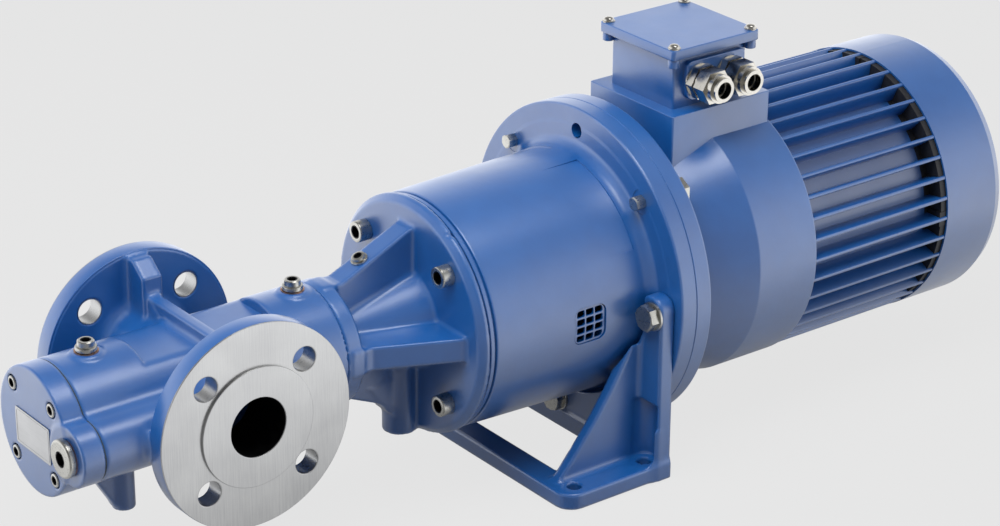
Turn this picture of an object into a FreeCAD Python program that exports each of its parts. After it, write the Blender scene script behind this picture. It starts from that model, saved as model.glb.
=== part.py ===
import FreeCAD, Part
import math
import os
import Sketcher

# Three-spindle screw pump with two DN 40 flanges, coupled through a bell housing on a foot bracket
# to a flange-mounted electric motor.
#
# Every piece is drawn in the shaft frame: X along the shaft from the pump to the motor, zero at the
# flanges' common axis; Z up, zero at the shaft axis. The finished pieces are then set down on the
# foot, so the model's origin is the centre of the foot bolt pattern on the underside.

SIZES = [
    ("shaft_height", 132, "underside of the foot to the shaft axis"),
    ("flange_to_foot", 290.5, "flange axis to the centre of the foot bolt pattern, along the shaft"),
    ("run_gap", 0.05, "radial clearance of a running or sliding fit"),
    ("seat_gap", 0.05, "radial clearance of a fixed seat"),
    ("screw_gap", 0.25, "radial clearance of a screw in its hole"),
    # pump casing
    ("barrel_dia", 92, "pump barrel, outer diameter"),
    ("barrel_bore", 63, "seat of the spindle liner"),
    ("barrel_front", 106.5, "flange axis to the pump-end face of the barrel"),
    ("barrel_back", 113, "flange axis to the drive-end shoulder of the barrel"),
    ("bore_back", 98, "flange axis to the bottom of the liner bore"),
    ("flat_drop", 7.4, "depth of the flat cut from the top of the barrel"),
    ("flat_front", 50, "flange axis to the pump-end edge of the flat"),
    ("flat_back", 55, "flange axis to the drive-end edge of the flat"),
    ("lobe_dia", 43, "relief valve lobe, outer diameter"),
    ("lobe_offset", 46, "relief valve lobe, sideways from the shaft axis"),
    ("lobe_bore", 23, "relief valve bore"),
    ("lobe_bore_depth", 76, "depth of the relief valve bore"),
    ("relief_port_dia", 14, "relief valve seat hole and return port"),
    ("neck_dia", 66, "neck between the barrel and a pipe flange"),
    ("pipe_flange_dia", 150, "DN 40 flange, outer diameter"),
    ("pipe_flange_thick", 15, "DN 40 flange, thickness under the raised face"),
    ("face_to_face", 170, "distance between the two raised faces"),
    ("raised_face_dia", 88, "DN 40 raised face"),
    ("raised_face_thick", 2, "height of the raised face"),
    ("pipe_bolt_circle", 110, "DN 40 bolt circle"),
    ("pipe_bolt_hole", 18, "DN 40 bolt hole, near flange"),
    ("far_bolt_hole", 17.5, "DN 40 bolt hole, far flange"),
    ("port_bore", 43, "DN 40 bore"),
    ("port_depth", 45, "depth of the DN 40 bore behind a raised face"),
    ("passage_dia", 41, "passage from a DN 40 bore to the spindles"),
    ("web_thick", 9.5, "web that joins the two flanges over the barrel"),
    ("web_rise", 2.5, "top of the flange web above the barrel"),
    ("plug_boss_dia", 22, "boss under a vent plug"),
    ("plug_boss_rise", 0.6, "top of a vent plug boss above the barrel"),
    ("plug_front", 80.5, "flange axis to the pump-end vent plug"),
    ("plug_back", 84.6, "flange axis to the drive-end vent plug"),
    ("lug_place", 58, "flange axis to the support lug"),
    ("lug_bottom", 78, "shaft axis down to the support lug's face"),
    ("lug_dia", 16, "support lug"),
    ("channel_dia", 78, "outer diameter of the cast channels beside the liner"),
    ("channel_angle", 60, "width of a cast channel about the shaft"),
    ("channel_reach", 95, "flange axis to the far end of a cast channel"),
    # drive end of the casing
    ("cone_start_dia", 33, "drive-end cone at the shoulder"),
    ("cone_end_dia", 76, "drive-end cone at the mounting flange"),
    ("mount_face", 183, "flange axis to the front face of the mounting flange"),
    ("mount_flange_dia", 180, "mounting flange, outer diameter"),
    ("mount_flange_thick", 8, "mounting flange, thickness"),
    ("mount_flange_lip", 4.5, "chamfer on the mounting flange's front rim"),
    ("rib_thick", 18, "drive-end ribs"),
    ("rib_end_radius", 72, "outer edge of a rib at the mounting flange"),
    ("mount_screw_radius", 71.5, "circle radius of the mounting screws"),
    ("rib_plug_place", 142, "flange axis to the small plug on the top rib"),
    ("boss_place", 175.5, "flange axis to the centre of the drive-end support boss"),
    ("boss_dia", 26, "drive-end support boss"),
    ("boss_bottom", 89, "shaft axis down to the support boss's face"),
    ("bearing_bore_front", 150, "flange axis to the bottom of the seal and bearing bore"),
    # spindles
    ("pitch_dia", 18, "centre distance of the spindles, which is also their rolling diameter"),
    ("lead", 60, "axial lead of the screws"),
    ("crest_angle", 24, "half angle of a main spindle crest in cross-section"),
    ("flank_angle", 26.32, "angle that a spindle flank spans in cross-section"),
    ("mesh_angle", 2.2, "angular clearance of each idler flank"),
    ("screw_half", 70, "half length of the screw zone"),
    ("liner_half", 78, "half length of the spindle liner"),
    ("shaft_dia", 20, "pump shaft"),
    ("drum_dia", 28, "balance drum of the main spindle"),
    ("drum_front", 84, "flange axis to the start of the balance drum"),
    ("drum_back", 107, "flange axis to the end of the balance drum"),
    ("shaft_end", 256, "flange axis to the end of the pump shaft"),
    ("journal_dia", 10, "idler journals"),
    ("journal_end", 106, "flange axis to the pump-end tips of the spindles"),
    ("idler_back", 76, "flange axis to the drive-end tips of the idlers"),
    # end cover
    ("spring_wire", 2.5, "wire of the relief valve spring"),
    ("cover_thick", 16.5, "end cover"),
    ("gasket_thick", 0.5, "paper gasket"),
    ("cover_screw_offset", 26, "cover screws, sideways and up from the shaft axis"),
    ("cover_screw_sink", 4, "depth of a cover screw's counterbore"),
    ("plate_wide", 46, "name plate, width"),
    ("plate_tall", 27, "name plate, height"),
    ("plate_low", 16.5, "shaft axis down to the name plate's lower edge"),
    ("plate_thick", 0.8, "name plate"),
    ("relief_plug_collar", 27, "collar of the relief valve plug"),
    # bell housing
    ("bell_front", 191, "flange axis to the front face of the bell housing"),
    ("bell_front_dia", 178, "bell housing behind its front groove"),
    ("bell_mid_step", 32, "bell housing before the flare, in from its motor flange's rim"),
    ("bell_groove_dia", 170, "bottom of the groove behind the mounting flange"),
    ("bell_groove_width", 3, "groove behind the mounting flange"),
    ("bell_wall", 7, "wall of the bell housing"),
    ("bell_flange_face", 338.3, "flange axis to the front face of the bell's motor flange"),
    ("flare_length", 17, "flare into the motor flange"),
    ("flare_step", 17, "flare in from the motor flange's rim"),
    ("motor_flange_dia", 250, "motor flange and bell flange"),
    ("motor_flange_thick", 14, "motor flange and bell flange, each"),
    ("motor_bolt_step", 17.5, "motor flange bolts in from the rim"),
    ("motor_register_step", 35, "register in from the motor flange's rim"),
    ("motor_register_depth", 4, "height of the register"),
    ("window_place", 280, "flange axis to the centre of a bell window"),
    ("window_size", 28, "bell window, square"),
    ("seat_turn", 18, "height of the foot bracket's tops that the flare is cleared for"),
    # foot bracket
    ("foot_front", 241, "flange axis to the front edge of the foot"),
    ("foot_width", 234, "foot bracket, overall width"),
    ("base_thick", 13, "base of the foot bracket"),
    ("leg_thick", 13, "upright plate of the foot bracket"),
    ("leg_top", 14, "top of a leg above the shaft axis"),
    ("leg_round", 14, "round corner at the top of a leg"),
    ("base_round", 12, "round corner at the front of the base"),
    ("foot_opening_gap", 4, "gap between the bracket's round opening and the bell"),
    ("gusset_place", 90, "sideways centre of a gusset"),
    ("gusset_thick", 9, "gusset"),
    ("foot_hole_dia", 11, "foot bolt hole"),
    ("foot_hole_length", 66.4, "foot bolt spacing along the shaft"),
    ("foot_hole_width", 208, "foot bolt spacing across the shaft"),
    ("rail_width", 21, "front and side rails of the base"),
    # coupling
    ("pump_hub_front", 216, "flange axis to the pump hub"),
    ("hub_dia", 55, "coupling hubs"),
    ("jaw_dia", 80, "coupling jaws"),
    ("jaw_front", 256, "flange axis to the root of the pump hub's jaws"),
    ("spider_thick", 18, "coupling spider"),
    ("motor_hub_back", 330, "flange axis to the motor side of the motor hub"),
    ("motor_shaft_dia", 28, "motor shaft end"),
    ("motor_shaft_length", 60, "motor shaft end beyond the motor flange"),
    # motor
    ("cone_motor_step", 39, "motor end shield behind its flange, in from the flange's rim"),
    ("shield_back", 388, "flange axis to the joint of end shield and motor frame"),
    ("frame_dia", 215, "motor frame, plain band"),
    ("cone_back", 430, "flange axis to the end of the motor's cone"),
    ("fin_front", 487, "flange axis to the start of the fins"),
    ("fin_back", 632, "flange axis to the end of the fins"),
    ("fin_dia", 209, "outer diameter over the fins"),
    ("fin_root_dia", 184, "bottom of the fin gaps"),
    ("fin_thick", 3.2, "cooling fin"),
    ("fin_count", 40, "number of cooling fins round the frame"),
    ("frame_bore", 164, "bore of the motor frame"),
    ("pedestal_front", 389.6, "flange axis to the terminal box pedestal"),
    ("pedestal_back", 485.5, "flange axis to the back of the pedestal"),
    ("pedestal_width", 96.8, "pedestal"),
    ("pedestal_top", 121, "top of the pedestal above the shaft axis"),
    ("box_inset", 7, "terminal box inside the edge of its lid"),
    ("lid_front", 393, "flange axis to the lid's front edge"),
    ("lid_back", 477.8, "flange axis to the lid's back edge"),
    ("lid_width", 85.8, "terminal box lid"),
    ("lid_bottom", 161.8, "lid's lower face above the shaft axis"),
    ("lid_thick", 8, "terminal box lid"),
    ("box_wall", 4, "wall of the terminal box"),
    ("box_round", 5, "upright corners of the terminal box and its lid"),
    ("gland_first", 420, "flange axis to the first cable gland"),
    ("gland_second", 449, "flange axis to the second cable gland"),
    ("gland_height", 142, "cable glands above the shaft axis"),
    ("cowl_front", 627, "flange axis to the front edge of the fan cowl"),
    ("cowl_back", 690, "flange axis to the back of the fan cowl"),
    ("cowl_dia", 214, "fan cowl, outer diameter"),
    ("cowl_wall", 1.6, "fan cowl, sheet thickness"),
    ("fan_dia", 166, "cooling fan"),
    ("cowl_post_radius", 90, "circle radius of the posts that carry the fan cowl"),
    ("cowl_post_dia", 8, "fan cowl post"),
]

DOC = FreeCAD.newDocument("screw_pump")
SHEET = DOC.addObject("Spreadsheet::Sheet", "dims")


class Size:
    """A number of the model together with the sheet formula that gives it."""

    def __init__(self, value, text):
        self.value = float(value)
        self.text = text

    def __add__(self, other):
        other = as_size(other)
        return Size(self.value + other.value, f"({self.text} + {other.text})")

    def __radd__(self, other):
        return as_size(other) + self

    def __sub__(self, other):
        other = as_size(other)
        return Size(self.value - other.value, f"({self.text} - {other.text})")

    def __rsub__(self, other):
        return as_size(other) - self

    def __mul__(self, other):
        other = as_size(other)
        return Size(self.value * other.value, f"({self.text} * {other.text})")

    def __rmul__(self, other):
        return as_size(other) * self

    def __truediv__(self, other):
        other = as_size(other)
        return Size(self.value / other.value, f"({self.text} / {other.text})")

    def __neg__(self):
        return Size(-self.value, f"(0 - {self.text})")

    def __float__(self):
        return self.value


def as_size(item):
    if isinstance(item, Size):
        return item
    return Size(item, f"({item})")


def cos(angle):
    angle = as_size(angle)
    return Size(math.cos(math.radians(angle.value)), f"cos({angle.text} * 1deg)")


def sin(angle):
    angle = as_size(angle)
    return Size(math.sin(math.radians(angle.value)), f"sin({angle.text} * 1deg)")


def arctan(ratio):
    return Size(math.degrees(math.atan(ratio.value)), f"atan({ratio.text})")


class Dims:
    """The driving dimensions, each one a cell of the sheet."""


def fill_sheet():
    dims = Dims()
    for row, (name, value, meaning) in enumerate(SIZES, start=1):
        SHEET.set(f"A{row}", name)
        SHEET.set(f"B{row}", str(value))
        SHEET.setAlias(f"B{row}", name)
        SHEET.set(f"C{row}", meaning)
        setattr(dims, name, Size(value, f"dims.{name}"))
    DOC.recompute()
    return dims


D = fill_sheet()
D.flat_height = D.barrel_dia / 2 - D.flat_drop
D.web_height = D.barrel_dia / 2 + D.web_rise
D.plug_boss_height = D.barrel_dia / 2 + D.plug_boss_rise
D.bell_mid_dia = D.motor_flange_dia - 2 * D.bell_mid_step
D.flare_dia = D.motor_flange_dia - 2 * D.flare_step
D.motor_bolt_circle = D.motor_flange_dia - 2 * D.motor_bolt_step
D.motor_register_dia = D.motor_flange_dia - 2 * D.motor_register_step
D.cone_motor_dia = D.motor_flange_dia - 2 * D.cone_motor_step
D.foot_opening_dia = D.bell_mid_dia + 2 * D.foot_opening_gap
NODES = []

TURN = {
    "X": FreeCAD.Rotation(FreeCAD.Vector(0, 1, 0), 90),
    "Y": FreeCAD.Rotation(FreeCAD.Vector(1, 0, 0), -90),
    "Z": FreeCAD.Rotation(),
}


def bind(item, name, size):
    """Give a property its formula, or its plain number where no driving dimension is behind it."""
    item.setExpression(name, as_size(size).text)


def set_down(item, label):
    """Name a finished piece and set it down on the foot."""
    item.Label = label
    bind(item, "Placement.Base.x", -D.flange_to_foot)
    bind(item, "Placement.Base.z", D.shaft_height)
    NODES.append(item)
    return item


def box(x0, x1, y0, y1, z0, z1):
    item = DOC.addObject("Part::Box", "block")
    bind(item, "Length", as_size(x1) - x0)
    bind(item, "Width", as_size(y1) - y0)
    bind(item, "Height", as_size(z1) - z0)
    bind(item, "Placement.Base.x", x0)
    bind(item, "Placement.Base.y", y0)
    bind(item, "Placement.Base.z", z0)
    return item


def stand(item, x, y, z, axis):
    item.Placement = FreeCAD.Placement(FreeCAD.Vector(), TURN[axis])
    bind(item, "Placement.Base.x", x)
    bind(item, "Placement.Base.y", y)
    bind(item, "Placement.Base.z", z)
    return item


def rod(radius, length, x=0, y=0, z=0, axis="X"):
    item = DOC.addObject("Part::Cylinder", "rod")
    bind(item, "Radius", radius)
    bind(item, "Height", length)
    return stand(item, x, y, z, axis)


def hexagon(across_flats, length, x=0, y=0, z=0, axis="X"):
    item = DOC.addObject("Part::Prism", "hexagon")
    item.Polygon = 6
    bind(item, "Circumradius", as_size(across_flats) / (2 * math.cos(math.radians(30))))
    bind(item, "Height", length)
    return stand(item, x, y, z, axis)


def ball(radius, x, y, z):
    item = DOC.addObject("Part::Sphere", "ball")
    bind(item, "Radius", radius)
    return stand(item, x, y, z, "Z")


def join(*items):
    if len(items) == 1:
        return items[0]
    item = DOC.addObject("Part::MultiFuse", "joined")
    item.Shapes = list(items)
    return item


def cut(base, *tools):
    item = DOC.addObject("Part::Cut", "cut")
    item.Base = base
    item.Tool = join(*tools)
    return item


def group(*items):
    """Separate solids that share one node."""
    item = DOC.addObject("Part::Compound", "group")
    item.Links = list(items)
    return item


class Body:
    """A PartDesign body, drawn on its own origin planes."""

    def __init__(self, name):
        self.body = DOC.addObject("PartDesign::Body", name)
        self.name = name

    def origin(self, role):
        return next(item for item in self.body.Origin.OriginFeatures if item.Role == role)

    def sketch(self, plane, offset=0):
        item = self.body.newObject("Sketcher::SketchObject", "outline")
        item.AttachmentSupport = [(self.origin(plane), "")]
        item.MapMode = "FlatFace"
        bind(item, "AttachmentOffset.Base.z", offset)
        return item

    def pin_point(self, sketch, geometry, point, across, up):
        """Bind one point of a sketch to its two coordinates."""
        for kind, size in (("DistanceX", across), ("DistanceY", up)):
            size = as_size(size)
            rule = Sketcher.Constraint(kind, -1, 1, geometry, point, size.value)
            number = sketch.addConstraint(rule)
            if "dims" in size.text:
                sketch.setExpression(f"Constraints[{number}]", size.text)

    def outline(self, plane, points, offset=0):
        """A closed outline of straight edges with every corner bound."""
        sketch = self.sketch(plane, offset)
        spots = [FreeCAD.Vector(float(as_size(a)), float(as_size(b)), 0) for a, b in points]
        for number, spot in enumerate(spots):
            sketch.addGeometry(Part.LineSegment(spot, spots[(number + 1) % len(spots)]))
        for number in range(len(spots)):
            following = (number + 1) % len(spots)
            sketch.addConstraint(Sketcher.Constraint("Coincident", number, 2, following, 1))
        for number, (across, up) in enumerate(points):
            self.pin_point(sketch, number, 1, across, up)
        return sketch

    def circles(self, plane, spots, offset=0):
        """Circles given as (across, up, radius)."""
        sketch = self.sketch(plane, offset)
        for across, up, radius in spots:
            centre = FreeCAD.Vector(float(as_size(across)), float(as_size(up)), 0)
            round_edge = Part.Circle(centre, FreeCAD.Vector(0, 0, 1), float(as_size(radius)))
            number = sketch.addGeometry(round_edge)
            self.pin_point(sketch, number, 3, across, up)
            size = as_size(radius)
            rule = sketch.addConstraint(Sketcher.Constraint("Radius", number, size.value))
            if "dims" in size.text:
                sketch.setExpression(f"Constraints[{rule}]", size.text)
        return sketch

    def feature(self, kind, sketch):
        item = self.body.newObject(kind, kind.split("::")[1].lower())
        item.Profile = sketch
        return item

    def pad(self, sketch, length, symmetric=False):
        item = self.feature("PartDesign::Pad", sketch)
        bind(item, "Length", length)
        item.Midplane = symmetric
        return item

    def pocket(self, sketch, length, forward=True, symmetric=False):
        """A pocket along the sketch's normal, or against it where forward is False."""
        item = self.feature("PartDesign::Pocket", sketch)
        bind(item, "Length", length)
        item.Reversed = forward
        item.Midplane = symmetric
        return item

    def turn(self, points, plane="XZ_Plane", angle=360):
        sketch = self.outline(plane, points)
        item = self.feature("PartDesign::Revolution", sketch)
        item.ReferenceAxis = (sketch, ["H_Axis"])
        bind(item, "Angle", angle)
        return item

    def groove(self, points, plane="XZ_Plane", angle=360):
        sketch = self.outline(plane, points)
        item = self.feature("PartDesign::Groove", sketch)
        item.ReferenceAxis = (sketch, ["H_Axis"])
        bind(item, "Angle", angle)
        item.Midplane = "dims" in as_size(angle).text or angle != 360
        return item

    def round_copies(self, features, count, axis="X_Axis"):
        item = self.body.newObject("PartDesign::PolarPattern", "copies")
        item.Originals = features
        item.Axis = (self.origin(axis), [""])
        item.Angle = 360
        bind(item, "Occurrences", count)
        self.body.Tip = item
        return item

    def fillet(self, radius, chosen):
        """Round the edges that the chosen test picks out."""
        DOC.recompute()
        base = self.body.Tip
        names = []
        for number, edge in enumerate(base.Shape.Edges, start=1):
            if chosen(edge):
                names.append(f"Edge{number}")
        if not names:
            raise ValueError(f"{self.name}: no edge to round")
        item = self.body.newObject("PartDesign::Fillet", "fillet")
        item.Base = (base, names)
        bind(item, "Radius", radius)
        return item

    def finish(self, label=None):
        return set_down(self.body, label or self.name)


def turned(label, points):
    """A plain turned part from its closed half profile of (x, radius) points."""
    part = Body(label)
    part.turn(points)
    return part.finish()


def tube_points(x0, x1, inner, outer):
    return [(x0, inner), (x0, outer), (x1, outer), (x1, inner)]


def around(radius, count, first=0.0):
    """(y, z) places on a circle about the shaft, counted from +Y towards +Z."""
    spots = []
    for number in range(count):
        angle = first + number * 360.0 / count
        spots.append((radius * cos(angle), radius * sin(angle)))
    return spots


def corners(axis, spots):
    """A test that picks the straight edges along an axis at the given places across it."""
    across = {"x": ("y", "z"), "y": ("x", "z"), "z": ("x", "y")}[axis]
    places = [(float(as_size(first)), float(as_size(second))) for first, second in spots]

    def chosen(edge):
        curve = edge.Curve
        if not isinstance(curve, Part.Line) or abs(getattr(curve.Direction, axis)) < 0.999:
            return False
        here = [getattr(edge.CenterOfMass, name) for name in across]
        return any(math.dist(here, place) < 0.01 for place in places)

    return chosen


def pump_casing():
    half_face = D.face_to_face / 2
    rim_back = half_face - D.raised_face_thick - D.pipe_flange_thick
    part = Body("pump_casing")
    part.turn([(-D.barrel_front, 0), (-D.barrel_front, D.barrel_dia / 2), (D.barrel_back, D.barrel_dia / 2),
               (D.barrel_back, D.cone_start_dia / 2), (D.mount_face, D.cone_end_dia / 2),
               (D.mount_face, D.mount_flange_dia / 2 - D.mount_flange_lip),
               (D.mount_face + D.mount_flange_lip, D.mount_flange_dia / 2),
               (D.mount_face + D.mount_flange_thick, D.mount_flange_dia / 2),
               (D.mount_face + D.mount_flange_thick, 0)])
    part.pad(part.circles("YZ_Plane", [(-D.lobe_offset, 0, D.lobe_dia / 2)], -D.barrel_front), D.barrel_front)
    flat = [(-D.barrel_dia, D.flat_height), (D.barrel_dia, D.flat_height),
            (D.barrel_dia, D.barrel_dia), (-D.barrel_dia, D.barrel_dia)]
    part.pocket(part.outline("YZ_Plane", flat, -D.flat_front), D.flat_front + D.flat_back)
    part.pad(part.circles("XZ_Plane", [(0, 0, D.neck_dia / 2)]), 2 * rim_back, symmetric=True)
    rim = D.pipe_flange_dia / 2
    part.pad(part.circles("XZ_Plane", [(0, 0, rim)], rim_back), D.pipe_flange_thick)
    part.pad(part.circles("XZ_Plane", [(0, 0, rim)], D.raised_face_thick - half_face), D.pipe_flange_thick)
    face = D.raised_face_dia / 2
    part.pad(part.circles("XZ_Plane", [(0, 0, face)], half_face - D.raised_face_thick), D.raised_face_thick)
    part.pad(part.circles("XZ_Plane", [(0, 0, face)], -half_face), D.raised_face_thick)
    web = [(-rim_back - 1, 0), (rim_back + 1, 0), (rim_back + 1, rim - 2), (rim_back - 4, rim - 2),
           (D.barrel_dia / 2 + 2, D.web_height), (-rim_back - 1, D.web_height)]
    part.pad(part.outline("YZ_Plane", web), D.web_thick, symmetric=True)
    bosses = [(-D.plug_front, 0, D.plug_boss_dia / 2), (D.plug_back, 0, D.plug_boss_dia / 2)]
    part.pad(part.circles("XY_Plane", bosses, D.flat_height), D.plug_boss_height - D.flat_height)
    casing_lug(part)
    casing_ribs(part)
    casing_cuts(part, half_face)
    return part.finish()


def casing_lug(part):
    """Support lug under the barrel with its web towards the pump end."""
    depth = D.lug_bottom - D.barrel_dia / 2 + 4
    part.pad(part.circles("XY_Plane", [(-D.lug_place, 0, D.lug_dia / 2)], -D.lug_bottom), depth)
    web = [(-D.lug_place, 6 - D.lug_bottom), (-D.lug_place - 9, 4 - D.lug_bottom),
           (-D.lug_place - 27, 4 - D.barrel_dia / 2), (-D.lug_place, 4 - D.barrel_dia / 2)]
    part.pad(part.outline("XZ_Plane", web), 9, symmetric=True)


def casing_ribs(part):
    """Four ribs from the barrel's shoulder to the mounting flange, and the boss below."""
    start = D.barrel_back - 1
    rib = [(start, 0), (start, D.barrel_dia / 2), (D.barrel_back + 8, D.barrel_dia / 2),
           (D.mount_face - 3, D.rib_end_radius), (D.mount_face + 1, D.rib_end_radius), (D.mount_face + 1, 0)]
    first = part.pad(part.outline("XZ_Plane", rib), D.rib_thick, symmetric=True)
    part.round_copies([first], 4)
    boss = part.circles("XY_Plane", [(D.boss_place, 0, D.boss_dia / 2)], -D.boss_bottom)
    part.pad(boss, D.boss_bottom - D.cone_end_dia / 2)
    web = [(D.boss_place, 12 - D.boss_bottom), (D.boss_place - D.boss_dia / 2 - 2, 20 - D.boss_bottom),
           (D.boss_place - D.boss_dia - 4, -D.barrel_dia / 2), (D.boss_place, -D.barrel_dia / 2)]
    part.pad(part.outline("XZ_Plane", web), D.rib_thick, symmetric=True)


def rib_climb():
    """Rise of a drive-end rib's outer edge for each millimetre along the shaft."""
    return (D.rib_end_radius - D.barrel_dia / 2) / (D.mount_face - 3 - D.barrel_back - 8)


def lean_on_rib(item, place):
    """Stand an item square on the top rib's sloping edge, where its small plug sits."""
    lean = arctan(rib_climb())
    turn = FreeCAD.Rotation(FreeCAD.Vector(0, -1, 0), float(lean))
    setattr(item, place, FreeCAD.Placement(FreeCAD.Vector(), turn))
    bind(item, f"{place}.Rotation.Angle", lean)
    bind(item, f"{place}.Base.x", D.rib_plug_place)
    bind(item, f"{place}.Base.z", D.barrel_dia / 2 + (D.rib_plug_place - D.barrel_back - 8) * rib_climb())
    return item


def casing_cuts(part, half_face):
    """Bores, cast channels, ports and holes."""
    bore = D.barrel_bore / 2
    back = D.mount_face + D.mount_flange_thick
    part.groove([(-D.barrel_front - 1, 0), (-D.barrel_front - 1, bore), (D.bore_back, bore),
                 (D.bore_back, D.drum_dia / 2 + D.run_gap), (D.drum_back, D.drum_dia / 2 + D.run_gap),
                 (D.drum_back, D.shaft_dia / 2 + 1), (D.bearing_bore_front, D.shaft_dia / 2 + 1),
                 (D.bearing_bore_front, BEARING_PUMP.outer + D.seat_gap),
                 (back + 1, BEARING_PUMP.outer + D.seat_gap), (back + 1, 0)])
    channel = D.channel_dia / 2
    port = D.port_bore / 2
    passage = D.passage_dia / 2
    inner = passage - 3
    part.groove([(-D.channel_reach, bore - 1), (inner, bore - 1), (inner, channel), (-D.channel_reach, channel)],
                "XY_Plane", D.channel_angle)
    part.groove([(D.channel_reach, 1 - bore), (-inner, 1 - bore), (-inner, -channel), (D.channel_reach, -channel)],
                "XY_Plane", D.channel_angle)
    part.pocket(part.circles("XZ_Plane", [(0, 0, passage)]), 2 * half_face, symmetric=True)
    part.pocket(part.circles("XZ_Plane", [(0, 0, port)], half_face), D.port_depth, forward=False)
    part.pocket(part.circles("XZ_Plane", [(0, 0, port)], -half_face), D.port_depth, forward=True)
    spots = around(D.pipe_bolt_circle / 2, 4, 45)
    near = [(y, z, D.pipe_bolt_hole / 2) for y, z in spots]
    far = [(y, z, D.far_bolt_hole / 2) for y, z in spots]
    depth = D.pipe_flange_thick + D.raised_face_thick + 0.5
    part.pocket(part.circles("XZ_Plane", near, half_face), depth, forward=False)
    part.pocket(part.circles("XZ_Plane", far, -half_face), depth, forward=True)
    screws = [(y, z, COVER_SCREW.hole) for y, z in cover_screw_spots()]
    part.pocket(part.circles("YZ_Plane", screws, -D.barrel_front), 20)
    relief = part.circles("YZ_Plane", [(-D.lobe_offset, 0, D.lobe_bore / 2)], -D.barrel_front)
    part.pocket(relief, D.lobe_bore_depth)
    seat_front = D.lobe_bore_depth - D.barrel_front - 1
    seat = part.circles("YZ_Plane", [(-D.lobe_offset, 0, D.relief_port_dia / 2)], seat_front)
    part.pocket(seat, -seat_front - port + 8)
    side = part.circles("XZ_Plane", [(14 - D.barrel_front, 0, D.relief_port_dia / 2)], D.lobe_offset)
    part.pocket(side, D.lobe_offset - bore + 3, forward=False)
    vents = [(-D.plug_front, 0, VENT_PLUG.hole), (D.plug_back, 0, VENT_PLUG.hole)]
    part.pocket(part.circles("XY_Plane", vents, D.plug_boss_height), 18, forward=False)
    thread = part.circles("XY_Plane", [(0, 0, RIB_PLUG.hole)])
    lean_on_rib(thread, "AttachmentOffset")
    part.pocket(thread, 9, forward=False)
    mounts = [(y, z, MOUNT_SCREW.hole) for y, z in around(D.mount_screw_radius, 4, 45)]
    part.pocket(part.circles("YZ_Plane", mounts, D.mount_face - 1), D.mount_flange_thick + 2)
    seal_screws = [(y, z, SEAL_SCREW.hole) for y, z in around(SEAL_RADIUS, 4, 0)]
    part.pocket(part.circles("YZ_Plane", seal_screws, back), 12, forward=False)


class Screw:
    """A socket or hexagon screw: shank radius, head radius, head height and key size."""

    def __init__(self, size, head, height, key):
        self.shank = size / 2.0
        self.hole = self.shank + D.screw_gap
        self.head = head / 2.0
        self.height = height
        self.key = key

    def socket(self, under, y, z, grip, axis="X"):
        """Socket screw whose head's underside is at `under`; its shank runs on by `grip`."""
        body = join(rod(self.head, self.height, under - self.height, y, z),
                    rod(self.shank, as_size(grip) + 0.5, under - 0.5, y, z))
        return cut(body, hexagon(self.key, self.height * 0.55, under - self.height, y, z))

    def hexagonal(self, under, y, z, grip):
        return join(hexagon(self.key, self.height, under - self.height, y, z),
                    rod(self.shank, as_size(grip) + 0.5, under - 0.5, y, z))


class Bearing:
    """A deep groove ball bearing on the shaft axis."""

    def __init__(self, inner, outer, width, ball_radius, count):
        self.inner = inner
        self.outer = outer
        self.width = width
        self.ball = ball_radius
        self.count = count
        self.pitch = (inner + outer) / 2.0

    def race(self, x, radius_low, radius_high):
        middle = x + self.width / 2.0
        blank = cut(rod(radius_high, self.width, x), rod(radius_low, self.width + 2, x - 1))
        path = DOC.addObject("Part::Torus", "path")
        bind(path, "Radius1", self.pitch)
        bind(path, "Radius2", self.ball + D.run_gap)
        stand(path, middle, 0, 0, "X")
        return cut(blank, path)

    def inner_ring(self, x):
        return self.race(x, self.inner, self.pitch - 0.6 * self.ball)

    def outer_ring(self, x):
        return self.race(x, self.pitch + 0.6 * self.ball, self.outer)

    def balls(self, x):
        middle = x + self.width / 2.0
        spots = around(self.pitch, self.count)
        cage_blank = cut(rod(self.pitch + 1, self.width * 0.6, middle - self.width * 0.3),
                         rod(self.pitch - 1, self.width * 0.6 + 2, middle - self.width * 0.3 - 1))
        holes = [ball(self.ball + D.run_gap, middle, y, z) for y, z in spots]
        return [cut(cage_blank, *holes)] + [ball(self.ball, middle, y, z) for y, z in spots]


COVER_SCREW = Screw(8, 13, 8, 6)
MOUNT_SCREW = Screw(10, 16, 10, 8)
SEAL_SCREW = Screw(6, 10, 6, 5)
FLANGE_BOLT = Screw(12, 19, 8, 18)
VENT_PLUG = Screw(10, 15, 6, 6)
RIB_PLUG = Screw(8, 12, 3.6, 5)
COWL_SCREW = Screw(4, 8, 3, 3)
BEARING_PUMP = Bearing(10.0, 23.5, 14.0, 3.9, 8)
BEARING_MOTOR = Bearing(15.0, 31.0, 16.0, 4.7, 9)
SEAL_RADIUS = 45.0


def cover_screw_spots():
    step = D.cover_screw_offset
    return [(step, step), (-step, step), (-step, -step), (step, -step)]


def spindle_liner():
    part = Body("spindle_liner")
    part.pad(part.circles("YZ_Plane", [(0, 0, D.barrel_bore / 2 - D.seat_gap)], -D.liner_half), 2 * D.liner_half)
    crest = D.pitch_dia * 5 / 6 + D.run_gap
    part.pocket(part.circles("YZ_Plane", [(0, 0, crest)], -D.liner_half - 1), 2 * D.liner_half + 2)
    for side in (1, -1):
        idler = part.circles("YZ_Plane", [(0, side * D.pitch_dia, D.pitch_dia / 2 + D.run_gap)],
                             -D.liner_half - 1)
        part.pocket(idler, 2 * D.liner_half + 2)
    return part.finish()


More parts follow.
